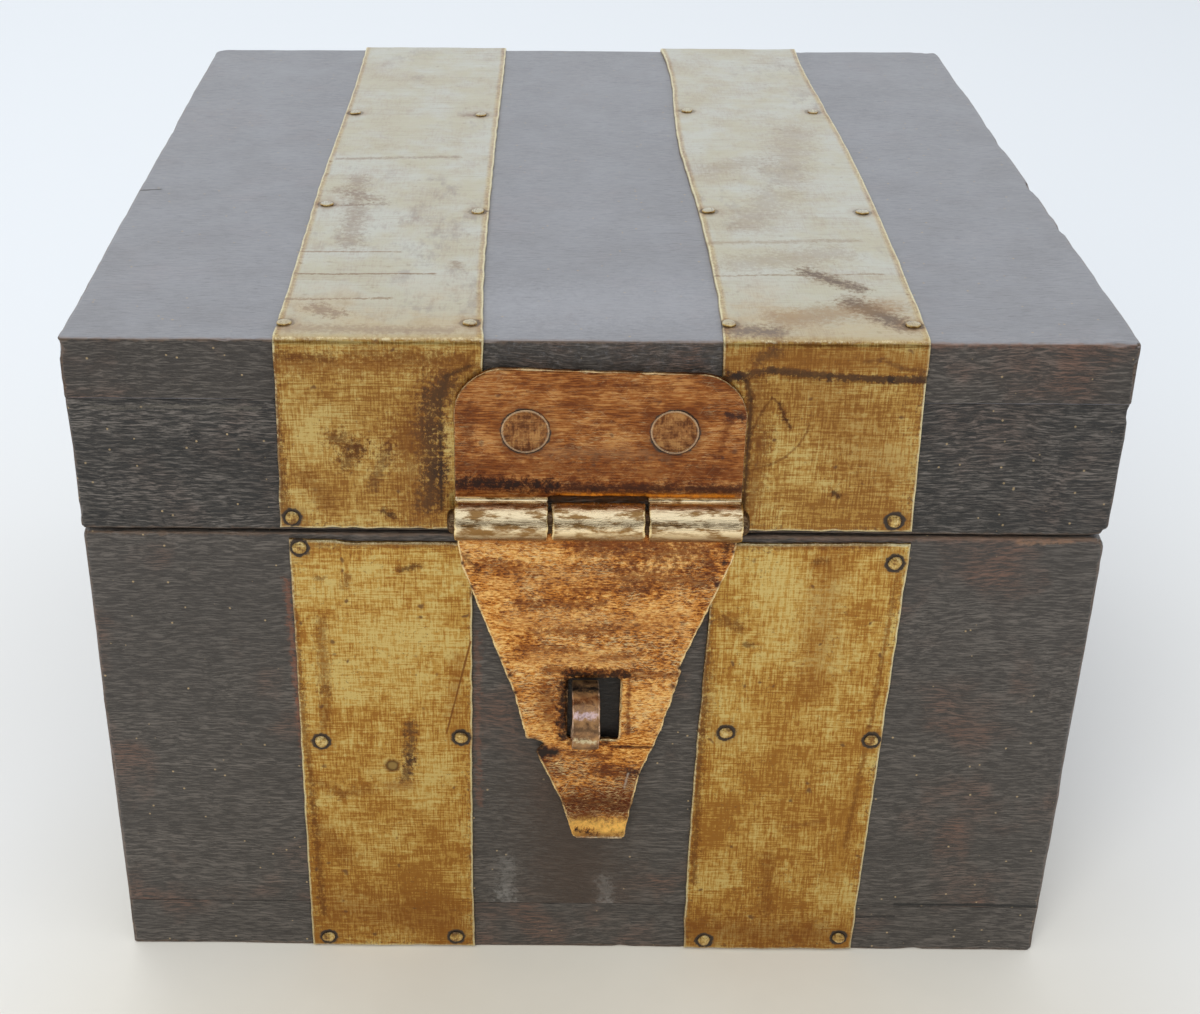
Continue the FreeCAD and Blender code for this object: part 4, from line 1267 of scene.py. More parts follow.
@dataclass
class Strap:
    """A strap of sheet brass that follows the wood and may end in rolled hinge knuckles.

    Attributes:
        node: The construction node that it stands for.
        path: Points (y, z) of the face against the wood, with the outward direction at each.
        knuckles: Which thirds of its far end are rolled round the hinge pin, or none.
        notch: Run length after which only those thirds go on.
        heads: Middles of the tacks, where the sheet is drawn in.
        folds: Creases, each a bent line on the strap's face.
        trims: Share across, and how far its far end is cut short there.
        sheet: Thickness.
        spacing: Mesh spacing along the run.
        knuckle_gap: The gap between two knuckles.
        edge_round: Radius of its upper edges.
        turned_over: Whether its run goes up the back, so that its faces turn the other way round.
    """

    node: str
    path: Array
    knuckles: tuple[int, ...] = ()
    notch: float = 1e9
    heads: Sequence[Array] = ()
    folds: Sequence[Sequence[Triple]] = ()
    trims: Profile = ((0.0, 0.0), (1.0, 0.0))
    sheet: float = 0.8
    spacing: float = 0.9
    knuckle_gap: float = 0.5
    edge_round: float = 0.26
    turned_over: bool = False

    def spans(self, rows: Array, at: Array) -> tuple[Array, Array]:
        """The strap's left and right edges, found on the construction model.

        Args:
            rows: How far along the run each row lies.
            at: The path at each row.

        Returns:
            The x of the left edge and of the right edge at each row.
        """
        mesh = frame["nodes"][self.node].data
        tree = BVHTree.FromPolygons([v.co for v in mesh.vertices], [p.vertices[:] for p in mesh.polygons])
        low, high = box_of(self.node)
        edges = []
        for start, way in ((low[0] - 5, 1), (high[0] + 5, -1)):
            found, values = [], []
            for row, (y, z, out_y, out_z) in zip(rows, at):
                level = Vector((start, y + out_y * self.sheet / 2, z + out_z * self.sheet / 2))
                hit = tree.ray_cast(level * MM, Vector((way, 0, 0)))[0]
                if hit:
                    found.append(row)
                    values.append(hit.x / MM)
            edges.append(np.interp(rows, found, values))
        return edges[0], edges[1]

    def columns(self, width: float) -> Array:
        """Places of the mesh lines across the strap.

        Args:
            width: The strap's width at its far end.

        Returns:
            Shares from 0 to 1, close together at the edges and exact at the knuckles.
        """
        edge = [0, 0.08, 0.18, 0.3, 0.55, 0.9]
        third = (width - 2 * self.knuckle_gap) / 3
        stops = [*edge, *(width - value for value in edge)]
        if self.knuckles:
            exact = [k * third + gaps * self.knuckle_gap for k, gaps in ((1, 0), (1, 1), (2, 1), (2, 2))]
            stops += exact
            stops += [value + step for value in exact for step in (-0.2, 0.2)]
        plain = np.arange(1.6, width - 1.6, 0.95)
        inner = [value for value in plain if min(abs(value - stop) for stop in stops) > 0.3]
        return np.array(sorted([*stops, *inner])) / width

    def shape(self, seed: int) -> Shape:
        """Make the strap.

        Args:
            seed: Fixes its hand-cut edges.

        Returns:
            The closed shape.
        """
        runs = run_lengths(self.path)
        total = runs[-1]
        ends = [0.12, 0.3, total - 0.12, total - 0.3]
        rows = np.unique(np.concatenate([runs, np.arange(0, total, self.spacing), ends]))
        rows = rows[np.concatenate([[True], np.diff(rows) > 0.04])]
        rows[-1] = total

        def follow(values: Array) -> Array:
            """The path at some lengths of its run."""
            return np.stack([np.interp(values, runs, self.path[:, k]) for k in range(4)], -1)

        left, right = self.spans(rows, follow(np.clip(rows, 0.05, total - 0.05)))
        shares = self.columns(right[-1] - left[-1])
        rough = Waves(seed, 6.0)
        calm = np.clip((self.notch - rows) / 6.0, 0, 1)
        left = left + 0.13 * calm * (1 + rough.at(np.stack([rows, rows * 0, rows * 0 + 5], 1))) / 2
        right = right - 0.13 * calm * (1 + rough.at(np.stack([rows, rows * 0 + 40, rows * 0], 1))) / 2
        x = left[:, None] + (right - left)[:, None] * shares[None, :]
        run = np.broadcast_to(rows[:, None], x.shape).copy()
        ragged = 0.1 * (1 + Waves(seed + 1, 4.0).at(np.stack([x[0], x[0] * 0, x[0] * 0], 1)))
        run += ragged[None, :] * np.clip(1 - run / 6.0, 0, 1)
        if not self.knuckles:
            cut = np.interp(shares, *zip(*self.trims)) + ragged[::-1]
            run -= cut[None, :] * np.clip(1 - (total - run) / 6.0, 0, 1)
        at = follow(run)
        base = np.stack([x, at[..., 0], at[..., 1]], -1)
        out = np.stack([x * 0, at[..., 2], at[..., 3]], -1)
        flat = base.reshape(-1, 3)
        from_edge = np.minimum(x - left[:, None], right[:, None] - x)
        from_edge = np.minimum(from_edge, run - run.min(0)[None, :])
        if not self.knuckles:
            from_edge = np.minimum(from_edge, run.max(0)[None, :] - run)
        lower = np.clip(self.edge_round - from_edge, 0, None)
        round_off = self.edge_round - np.sqrt(np.clip(self.edge_round**2 - lower**2, 0, None))
        uneven = 0.14 * Waves(seed + 2, 22.0).share(flat) + 0.05 * Waves(seed + 3, 6.0).share(flat)
        drop = uneven * np.clip((self.notch + 4 - run.ravel()) / 8.0, 0.25, 1)
        middle = flat + out.reshape(-1, 3) * self.sheet
        for head in self.heads:
            gap = np.linalg.norm(middle - head, axis=1)
            drop += 0.2 * np.exp(-((gap / 1.9) ** 2))
        for fold in self.folds:
            gap = np.min([away_from_segment(middle, a, b) for a, b in zip(fold, fold[1:])], axis=0)
            drop += 0.26 * np.exp(-((gap / 0.55) ** 2))
        drop = np.clip(drop, 0, self.sheet - 0.35)
        top = base + out * (self.sheet - round_off - drop.reshape(x.shape))[..., None]
        below = base - out * 0.03
        made = self.closed(top, below, self.kept_cells(rows, shares), np.exp(-from_edge / 1.2))
        if self.turned_over:
            made.faces = [face[::-1] for face in made.faces]
        return made

    def kept_cells(self, rows: Array, shares: Array) -> Array:
        """Which cells of the grid are metal: past the notch, only the rolled thirds.

        Args:
            rows: Run length of each row of the grid.
            shares: Share across of each of its columns.

        Returns:
            True for each cell that is metal.
        """
        cells = np.ones((len(rows) - 1, len(shares) - 1), bool)
        if not self.knuckles:
            return cells
        width = self.end_width
        third = (width - 2 * self.knuckle_gap) / 3
        middle = (shares[:-1] + shares[1:]) / 2 * width
        kept = np.zeros(len(middle), bool)
        for turn in self.knuckles:
            start = turn * (third + self.knuckle_gap)
            kept |= (middle > start) & (middle < start + third)
        late = (rows[:-1] + rows[1:]) / 2 > self.notch
        cells[late] = kept[None, :]
        return cells

    @property
    def end_width(self) -> float:
        """The strap's width at its far end."""
        left, right = self.spans(run_lengths(self.path)[-2:], self.path[-2:])
        return float(right[-1]) - float(left[-1])

    @staticmethod
    def closed(top: Array, below: Array, cells: Array, edge: Array) -> Shape:
        """A closed sheet from its two faces.

        Args:
            top: Its outer face, as a grid of points.
            below: Its inner face.
            cells: Which cells of the grid are metal.
            edge: How near each point is to the sheet's edge.

        Returns:
            The closed shape.
        """
        rows, columns = top.shape[:2]
        number = np.arange(rows * columns).reshape(rows, columns)
        lower = number + rows * columns
        i, j = np.nonzero(cells)
        faces = np.stack([number[i, j], number[i, j + 1], number[i + 1, j + 1], number[i + 1, j]], 1).tolist()
        faces += np.stack([lower[i, j], lower[i + 1, j], lower[i + 1, j + 1], lower[i, j + 1]], 1).tolist()
        padded = np.pad(cells, 1)
        borders = (
            (padded[:-2, 1:-1], (0, 0), (0, 1)), (padded[2:, 1:-1], (1, 1), (1, 0)),
            (padded[1:-1, :-2], (1, 0), (0, 0)), (padded[1:-1, 2:], (0, 1), (1, 1)),
        )
        for beside, a, b in borders:
            i, j = np.nonzero(cells & ~beside)
            first, second = (i + a[0], j + a[1]), (i + b[0], j + b[1])
            faces += np.stack([number[second], number[first], lower[first], lower[second]], 1).tolist()
        points = np.concatenate([top.reshape(-1, 3), below.reshape(-1, 3)])
        values = np.concatenate([edge.ravel(), np.zeros(edge.size)])
        used = np.unique([corner for face in faces for corner in face])
        back = np.full(len(points), -1)
        back[used] = np.arange(len(used))
        return Shape(points[used], back[np.array(faces)].tolist(), values[used])


def arc_path(middle: Point, radius: float, start: float, end: float, inward: bool,
             count: int) -> Array:
    """Path points round a circle in the YZ plane.

    Args:
        middle: The circle's middle, y and z.
        radius: Its radius.
        start: First angle in degrees from +Y towards +Z.
        end: Last angle.
        inward: Whether the sheet's face looks to the middle.
        count: How many points.

    Returns:
        Rows of y, z and the outward direction.
    """
    turn = np.radians(np.linspace(start, end, count))
    way = np.stack([np.cos(turn), np.sin(turn)], 1)
    place = np.array(middle) + radius * way
    return np.concatenate([place, -way if inward else way], 1)


def straight_path(start: Point, end: Point, out: Point) -> Array:
    """Two path points of a flat stretch."""
    return np.array([[*start, *out], [*end, *out]])


def neighbour_mean(links: Array, count: int,
                   value: Callable[[Array, Array], Array]) -> Array:
    """The mean, at each point, of what its neighbours give it.

    Args:
        links: Pairs of neighbours.
        count: How many points there are.
        value: What points get from their neighbours, for the numbers of both.

    Returns:
        One mean for each point.
    """
    total, number = np.zeros(count), np.zeros(count)
    for here, there in (links.T, links.T[::-1]):
        np.add.at(total, here, value(here, there))
        np.add.at(number, here, 1)
    return total / np.maximum(number, 1)


def worn_copy(node: str, voxel: float, dents: float, seed: int) -> Shape:
    """A construction node's shape with softened edges and a beaten surface.

    Args:
        node: The node.
        voxel: Spacing of the new mesh.
        dents: How deep the beating goes.
        seed: Fixes the beating.

    Returns:
        The closed shape, with its convex edges marked.
    """
    work = frame["nodes"][node].data.copy()
    work.transform(Matrix.Scale(1 / MM, 4))
    holder = bpy.data.objects.new("holder", work)
    bpy.context.scene.collection.objects.link(holder)
    even = holder.modifiers.new("even", "REMESH")
    even.mode = "VOXEL"
    even.voxel_size = voxel
    soft = holder.modifiers.new("soft", "SMOOTH")
    soft.factor = 0.5
    soft.iterations = 2
    graph = bpy.context.evaluated_depsgraph_get()
    mesh = bpy.data.meshes.new_from_object(holder.evaluated_get(graph))
    bpy.data.objects.remove(holder)
    count = len(mesh.vertices)
    fields = {"co": np.empty(count * 3, np.float32), "normal": np.empty(count * 3, np.float32)}
    for name, values in fields.items():
        mesh.vertices.foreach_get(name, values)
    points, normals = (values.reshape(-1, 3).astype(float) for values in fields.values())
    links = np.empty(len(mesh.edges) * 2, np.int32)
    mesh.edges.foreach_get("vertices", links)
    links = links.reshape(-1, 2)
    faces = [list(face.vertices) for face in mesh.polygons]
    bpy.data.meshes.remove(mesh)

    def bulge(here: Array, there: Array) -> Array:
        """How far neighbours lie behind their points."""
        return -((points[there] - points[here]) * normals[here]).sum(1) / voxel

    sharp = neighbour_mean(links, count, bulge)
    for _ in range(2):
        sharp = neighbour_mean(links, count, lambda _, there: sharp[there])
    sharp = np.clip(sharp * 9.0, 0, 1)
    beaten = 0.65 * Waves(seed, 9.0).share(points) + 0.35 * Waves(seed + 1, 2.6).share(points)
    nicked = sharp * 0.24 * Waves(seed + 2, 3.0).share(points)
    points -= normals * (dents * beaten + nicked)[:, None]
    return Shape(points, faces, sharp)


@dataclass(frozen=True)
class Heads:
    """One kind of fastener, such as a domed tack or a big flush rivet.

    Attributes:
        profile: Radius and height from the crown, on the axis, to the foot, on the axis.
        dome: How far a head stands above the sheet in the construction model.
        uneven: The share by which the radius wanders.
        segments: Points round the axis.
        slot: The record's slot of the material.
        finish: The finish.
    """

    profile: Profile
    dome: float
    uneven: float
    segments: int
    slot: str
    finish: BrassFinish

    def make(self, node: str, name: str, body: str, seed: int, pattern: float) -> list[Array]:
        """Make the fasteners of one node.

        Args:
            node: The construction node.
            name: The new piece's name.
            body: The body that they ride on.
            seed: Fixes the unevenness.
            pattern: Moves the finish's patterns.

        Returns:
            Where they meet their sheet.
        """
        places = head_places(node, self.dome)
        shapes = [
            turned(self.profile, place, side, seed + number, self.uneven, self.segments)
            for number, (place, side) in enumerate(places)
        ]
        made = Shape.joined(shapes).piece(name, crease_degrees=60)
        settle(made, body, self.slot, self.finish.material(name, pattern), node)
        return [place for place, _ in places]


TACKS = Heads(
    profile=(
        (0.0, 0.36), (0.45, 0.355), (0.85, 0.31), (1.15, 0.22), (1.34, 0.08), (1.42, -0.08), (1.34, -0.24),
        (0.66, -0.3), (0.6, -2.4), (0.0, -2.4),
    ),
    dome=0.5, uneven=0.055, segments=28, slot="brass_tack",
    finish=BrassFinish(
        pale=(0.84, 0.66, 0.30), middle=(0.62, 0.40, 0.12), deep=(0.26, 0.13, 0.04), blotch_scale=0.6,
        roughness=0.26, relief_depth=0.06, edge_share=0.0, film_and_sheen_share=0.85, blotch_share=0.6, line_share=0.2,
        contrast=1.4,
    ),
)
RIVETS = Heads(
    profile=(
        (0.0, -0.12), (1.6, -0.16), (3.0, -0.17), (4.0, -0.13), (4.3, -0.02), (4.45, 0.06), (4.57, 0.0),
        (4.62, -0.12), (3.9, -0.55), (2.2, -1.35), (2.2, -14.8), (3.2, -14.82), (3.65, -15.0), (3.5, -15.35),
        (2.4, -15.7), (0.0, -15.78),
    ),
    dome=0.0, uneven=0.008, segments=48, slot="rivet_brass",
    finish=BrassFinish(
        pale=(0.50, 0.25, 0.085), middle=(0.32, 0.130, 0.040), deep=(0.14, 0.046, 0.014),
        brown=(0.08, 0.034, 0.014), blotch_scale=0.35, roughness=0.3, relief_depth=0.05, edge_share=0.55,
        bright=(0.76, 0.56, 0.36), line_share=0.25, blotch_share=0.7, edge_low=0.45, contrast=1.9,
    ),
)


FRONT_CORNER = 1.4
BACK_CORNER = 3.6

# Marks on the wood, a few of them painted light. Each row has its corners and then what a Mark has from its
# width on.
RED = (0.24, 0.075, 0.030)
CHALK = (0.26, 0.25, 0.23)
LID_FRONT_SCARS_AND_GLOW: Rows = (
    (((-96, 134), (-80, 134.4), (-64, 134.1)), 0.45, (0.17, 0.15, 0.12), 0.6, 0.5, -0.4),
    # Painted reflection: an orange-brown glow of the hasp's brass on the wood seen in the plate's cutout at
    # the hinge.
    (((-9, 116.4), (9.5, 116.4)), 2.6, (0.2, 0.075, 0.02), 1, 0.8),
)
LID_TOP_SCARS_AND_SHEEN: Rows = (
    # Painted sheen: a wide pale grey-blue patch across the middle of the lid top's front part.
    (((-16, -84), (18, -84)), 15, (0.29, 0.295, 0.32), 0.7, 8),
    (((-101.5, -18.9), (-96.4, -18)), 0.35, (0.02, 0.015, 0.012), 0.95, 0.15, 1.5),
    (((102, 20), (102, -60)), 1.6, (0.16, 0.09, 0.06), 0.6, 1.4),
    (((40, -101.3, 148), (101, -101.3, 148.2)), 0.8, (0.26, 0.12, 0.08), 0.55, 0.5),
    (((-101.3, -101.3, 146), (-101.3, -100, 146)), 1.8, (0.2, 0.13, 0.09), 0.7, 0.8),
)
CASE_FRONT_SCUFFS_AND_SHADE: Rows = (
    (((-4, 44), (0, 4)), 17, (0.042, 0.023, 0.013), 0.9, 4),
    (((-16.8, 24), (-17.2, 15), (-15.8, 6)), 2.6, CHALK, 0.5, 2.4),
    (((4.6, 19), (5.4, 12), (5, 7)), 2.2, CHALK, 0.5, 2.2),
    (((-61.2, 96), (-60.4, 67), (-58.8, 22)), 0.8, RED, 0.7, 0.8),
    (((-22.9, 84), (-22.9, 40)), 0.9, RED, 0.5, 0.9),
    # Painted shade: near-black wood behind the slot in the hasp leaf, where the staple stands.
    (((3.2, 59), (3.2, 74)), 12, (0.006, 0.004, 0.003), 1, 1),
    (((56, 40), (53.5, 18)), 1.4, RED, 0.5, 1.4),
    (((84, 105.9), (94, 106)), 0.7, (0.24, 0.13, 0.07), 0.85, 0.5),
    (((40, 106.2), (100, 106.4)), 0.6, (0.15, 0.075, 0.045), 0.6, 0.8),
    (((69, 13.2), (85, 13.3), (100.5, 13)), 0.36, (0.006, 0.005, 0.004), 1, 0.06, 2),
    (((-98.5, 12.4), (-80, 12.2), (-64, 12.3)), 0.3, (0.006, 0.005, 0.004), 0.95, 0.12, 1.6),
)
BOTTOM_CRACK: Rows = ((((60.5, 9.3), (69.2, 9.7)), 0.3, (0.008, 0.006, 0.005), 1, 0.1, 2),)

# Chips of the lid's top.
TOP_DENTS = (
    Dent((-101.5, -101.3, 146.2), (1.8, 3.0, 2.4), (0.8, 0.55, 0.0)),
    Dent((101.5, -13.6, 148.6), (1.6, 4.5, 2.2), (-0.85, 0.0, -0.5)),
    Dent((101.5, -39.4, 148.6), (1.4, 3.2, 1.8), (-0.7, 0.0, -0.4)),
    Dent((101.5, 18.0, 148.6), (1.2, 6.0, 1.6), (-0.5, 0.0, -0.3)),
    Dent((-101.5, -18.8, 148.6), (1.4, 1.0, 2.2), (0.5, 0.0, -0.4)),
    Dent((98.0, 101.3, 148.6), (4.0, 2.0, 3.0), (-0.3, -0.6, -0.3)),
)
BoardPlan = tuple[Board, WoodFinish, tuple[Mark, ...]]


@dataclass
class WoodWork:
    """All the boards of the box and of its lid.

    Attributes:
        front: Finish of the case's boards.
        rugged: Finish of the lid's rails, whose grain stands out more.
        top: Finish of the lid's top, which is smoother and greyer, its grey partly a painted reflection of
            the pale surroundings.
        face: The wood's front face, from the middle.
        top_height: Height of the lid's top.
    """

    front: WoodFinish = WoodFinish(relief_depth=0.06)
    rugged: WoodFinish = WoodFinish(
        furrow=(0.008, 0.007, 0.006), ridge=(0.124, 0.108, 0.094), relief_depth=0.13, warm_share=0.3,
        roughness=0.46, crumb_rarity=0.95,
    )
    top: WoodFinish = WoodFinish(bloom_and_sheen_share=0.85, gloss=0.15)
    face: float = 101.3
    top_height: float = 148.6

    def lid_boards(self) -> list[BoardPlan]:
        """The lid's boards.

        Returns:
            Each board with its finish and marks, in the order of their seeds.
        """
        along_x, along_y = GrainAxis
        top = Board(
            "lid_top_board", "-x+x-y+y+z", along_x, FRONT_CORNER, BACK_CORNER, upper=1.0, dents=TOP_DENTS,
            nicks=40,
        )
        front = Board(
            "lid_front_rail", "-x+x-y-z", along_x, FRONT_CORNER, upper=0.3, lower=0.55,
            special={"+x-z": 2.2, "-x-z": 1.2}, inset={"+x": 0.5, "-x": 0.25},
        )
        back = Board(
            "lid_back_rail", "-x+x+y-z", along_x, back_corner=BACK_CORNER, upper=0.3, lower=0.55,
            special={"+x-z": 1.6, "-x-z": 1.2}, inset={"+x": 0.45, "-x": 0.25, "+y": 0.2},
        )
        left = Board("lid_left_rail", "-x-z", along_y, upper=0.3, lower=1.3, inset={"-x": 0.3})
        right = Board("lid_right_rail", "+x-z", along_y, upper=0.3, lower=1.5, inset={"+x": 0.55})
        return [
            (top, self.top, on_top(self.top_height, LID_TOP_SCARS_AND_SHEEN)),
            (front, self.rugged, on_front(self.face, LID_FRONT_SCARS_AND_GLOW)),
            *((board, self.rugged, ()) for board in (back, left, right)),
        ]

    def case_boards(self) -> list[BoardPlan]:
        """The case's boards.

        Returns:
            Each board with its finish and marks, in the order of their seeds.
        """
        along_x, along_y = GrainAxis
        front = Board(
            "case_front_board", "-x+x-y+z", along_x, FRONT_CORNER, upper=0.5, lower=0.3,
            special={"+x+z": 2.2, "-x+z": 1.0}, nicks=30,
        )
        back = Board(
            "case_back_board", "-x+x+y+z", along_x, back_corner=BACK_CORNER, upper=0.5, lower=0.3,
            special={"+x+z": 1.6, "-x+z": 1.2},
        )
        left = Board("case_left_board", "-x+z", along_y, upper=1.3, lower=0.3, inset={"-x": 0.1})
        right = Board("case_right_board", "+x+z", along_y, upper=1.5, lower=0.3, inset={"+x": 0.15})
        floor = Board(
            "case_bottom_board", "-x+x-y+y-z", along_x, FRONT_CORNER, BACK_CORNER, upper=0.26, lower=0.6,
            inset={"-y": 0.1}, nicks=40,
        )
        return [
            (front, self.front, on_front(self.face, CASE_FRONT_SCUFFS_AND_SHADE)),
            *((board, self.front, ()) for board in (back, left, right)),
            (floor, self.front, on_front(self.face, BOTTOM_CRACK)),
        ]

    def build(self) -> None:
        """Make and dress every board."""
        for body, first_seed, plans in (("lid", 20, self.lid_boards()), ("case", 30, self.case_boards())):
            for seed, (board, finish, marks) in enumerate(plans, first_seed):
                piece = board.shape(seed).piece(board.node + "_worn", crease_degrees=60)
                material = finish.material(board.node, board.grain, float(seed), marks)
                if board.node == "case_bottom_board":
                    self.open_nail_holes(piece)
                settle(piece, body, "dark_wood", material, board.node)

    @staticmethod
    def open_nail_holes(piece: Thing) -> None:
        """Cut the shallow holes of the nail heads into the bottom board.

        Args:
            piece: The board's piece.
        """
        holes = []
        for points in solids_of("case_bottom_nails"):
            low, high = points.min(0), points.max(0)
            place = (low + high) / 2 * (1, 1, 0)
            radius = (high[0] - low[0]) / 2 + 0.12
            profile = ((0.0, 1.3), (radius, 1.3), (radius + 0.15, -0.5), (0.0, -0.5))
            seed = int(abs(place[0] * 7) + abs(place[1]))
            holes.append(turned(profile, place, Outward.UP, seed, 0.01))
        cutter = Shape.joined(holes).piece("cutter")
        cut = piece.modifiers.new("holes", "BOOLEAN")
        cut.operation = "DIFFERENCE"
        cut.object = cutter
        cut.solver = "EXACT"
        graph = bpy.context.evaluated_depsgraph_get()
        opened = bpy.data.meshes.new_from_object(piece.evaluated_get(graph))
        piece.modifiers.clear()
        piece.data = opened
        bpy.data.objects.remove(cutter)


# Marks on the straps, a few of them painted light.
GRIME_AND_SHADE = (0.030, 0.020, 0.013)
SCORED = (0.10, 0.045, 0.012)
LID_CREASE = ((24, 140.9), (26.7, 141.9), (32.8, 143.1), (43.6, 141.8), (55.1, 141.3), (62.5, 141.4))
LOOP_RISE = (
    (29.1, 128.1), (30.1, 131.1), (31.4, 134.5), (33.1, 137.4), (34.5, 136.2), (35.8, 133.2), (37.1, 131.1),
)
LOOP_FALL = ((40.5, 132), (40.2, 130.1), (38.9, 127.5), (36.6, 124.9), (33.7, 123.2), (30.3, 122))
LID_FRONT_MARKS: dict[str, Rows] = {
    "left": (
        (((-32.7, 144.6), (-33.1, 124.8)), 0.16, SCORED, 0.8, 0.04, 1.2),
        (((-28.6, 140), (-31, 137), (-32, 130), (-31, 121), (-32.5, 114)), 2.6, GRIME_AND_SHADE, 0.85, 2.6, 0, 0.3),
        # A dark line on the strap along the plate's edge: painted shade, with some dirt.
        (((-24, 143.6), (-28.4, 141.5), (-29.6, 137), (-29.7, 113)), 0.7, GRIME_AND_SHADE, 0.9, 0.35),
        (((-30, 140), (-35.5, 128), (-34, 112)), 5, (0.26, 0.11, 0.025), 0.6, 4.4),
        (((-61.5, 143), (-61.2, 128), (-60.6, 112)), 1.3, (0.12, 0.05, 0.015), 0.8, 1.3),
        (((-50, 128.5), (-46, 126), (-48, 123)), 2.2, (0.1, 0.04, 0.012), 0.75, 2.2),
        (((-41, 112.4), (-39.4, 111.2)), 1, GRIME_AND_SHADE, 0.8, 0.7),
        (((-62, 143.6), (-26, 144.2)), 2.4, (0.3, 0.13, 0.028), 0.7, 2),
        (((-40, 126), (-43, 118)), 1.6, GRIME_AND_SHADE, 0.55, 2.2, 0, 0.25),
        (((-46, 146), (-24, 145)), 1.8, (0.2, 0.09, 0.02), 0.55, 1.6),
        (((-60, 145.5), (-50, 145)), 1.4, GRIME_AND_SHADE, 0.5, 1.6),
        (((-56, 120), (-52, 114)), 2.6, (0.2, 0.09, 0.02), 0.5, 2),
    ),
    "right": (
        (LID_CREASE, 0.75, GRIME_AND_SHADE, 0.85, 0.45, 0.6, 0.3),
        (((30, 145.2), (33.5, 146.8)), 1.3, GRIME_AND_SHADE, 0.8, 0.8, 0, 0.3),
        (((49.8, 144.8), (53, 145.4), (56.8, 143.6), (62, 143)), 0.6, GRIME_AND_SHADE, 0.6, 0.5, 0, 0.2),
        (((24, 145), (62, 145)), 3.2, (0.36, 0.16, 0.03), 0.6, 1.2),
        (((42, 139), (56, 122)), 8, (0.36, 0.18, 0.04), 0.4, 3),
        (LOOP_RISE, 0.24, SCORED, 0.55, 0.2, 0.8),
        (LOOP_FALL, 0.24, SCORED, 0.5, 0.2, 0.8),
        (LOOP_RISE[4:], 0.6, GRIME_AND_SHADE, 0.6, 0.6),
        # A dark line on the strap along the plate's edge: painted shade, with some dirt.
        (((24, 142.6), (28, 141), (29.2, 137), (29.2, 113)), 0.8, GRIME_AND_SHADE, 0.9, 0.4),
        (((29.5, 142.5), (31.5, 128), (30.5, 112)), 2.4, (0.22, 0.09, 0.02), 0.6, 2.2),
        (((46.5, 117.2), (47.2, 116.4)), 0.8, GRIME_AND_SHADE, 0.85, 0.6),
    ),
}
LID_TOP_MARKS: dict[str, Rows] = {
    "left": (
        (((-59.3, -70.7), (-31.8, -70.3)), 0.3, (0.2, 0.12, 0.05), 0.8, 0.2, 1),
        (((-60.3, -58.3), (-39.6, -58)), 0.3, (0.22, 0.14, 0.07), 0.6, 0.2, 0.8),
        (((-52, -12), (-50.3, -54)), 2.6, (0.24, 0.21, 0.2), 0.5, 2.6, 0, 0.1),
        (((-56, -20), (-47, -26)), 2, (0.24, 0.21, 0.2), 0.5, 2, 0, 0.1),
        (((-56, -30), (-44, -29)), 0.8, (0.2, 0.17, 0.14), 0.6, 0.8),
        (((-58, 2), (-30, 4)), 0.9, (0.26, 0.22, 0.19), 0.6, 0.9),
        (((-62, -84), (-40, -83)), 0.5, (0.25, 0.18, 0.1), 0.7, 0.5),
        (((-54, -88), (-50, -91)), 2.4, (0.24, 0.17, 0.11), 0.7, 2.4),
        (((-28, -64), (-27.5, -66)), 1.2, (0.2, 0.15, 0.12), 0.6, 1),
        (((-27, 36.6), (-29.5, 37)), 1.5, (0.2, 0.16, 0.13), 0.6, 1),
        (((-58, -98), (-28, -98.6)), 2, (0.28, 0.22, 0.16), 0.5, 1.6),
    ),
    "right": (
        (((43, -68), (52, -77)), 2.3, (0.1, 0.07, 0.055), 0.85, 1.6, 0, 0.25),
        (((50, -84), (58, -95)), 3.4, (0.11, 0.08, 0.06), 0.85, 2, 0, 0.25),
        (((26, -97.5), (33, -98.5)), 3, (0.13, 0.11, 0.1), 0.8, 1.8, 0, 0.2),
        (((36, -92), (56, -86)), 4.5, (0.36, 0.21, 0.07), 0.6, 2.5),
        (((22, -70.5), (58, -69)), 0.4, (0.22, 0.16, 0.09), 0.6),
        (((24, -52), (56, -50)), 1, (0.24, 0.18, 0.11), 0.45, 0.8),
        (((30, -64), (50, -58)), 5, (0.33, 0.31, 0.27), 0.4, 5),
        (((34, -40), (42, -22)), 5, (0.34, 0.32, 0.29), 0.4, 5),
        (((46, -10), (52, 24)), 5, (0.35, 0.32, 0.28), 0.35, 5),
        (((30, -4), (40, 2)), 4, (0.33, 0.29, 0.23), 0.35, 4),
    ),
}
UMBER = (0.040, 0.024, 0.013)
BROWN = (0.16, 0.07, 0.018)
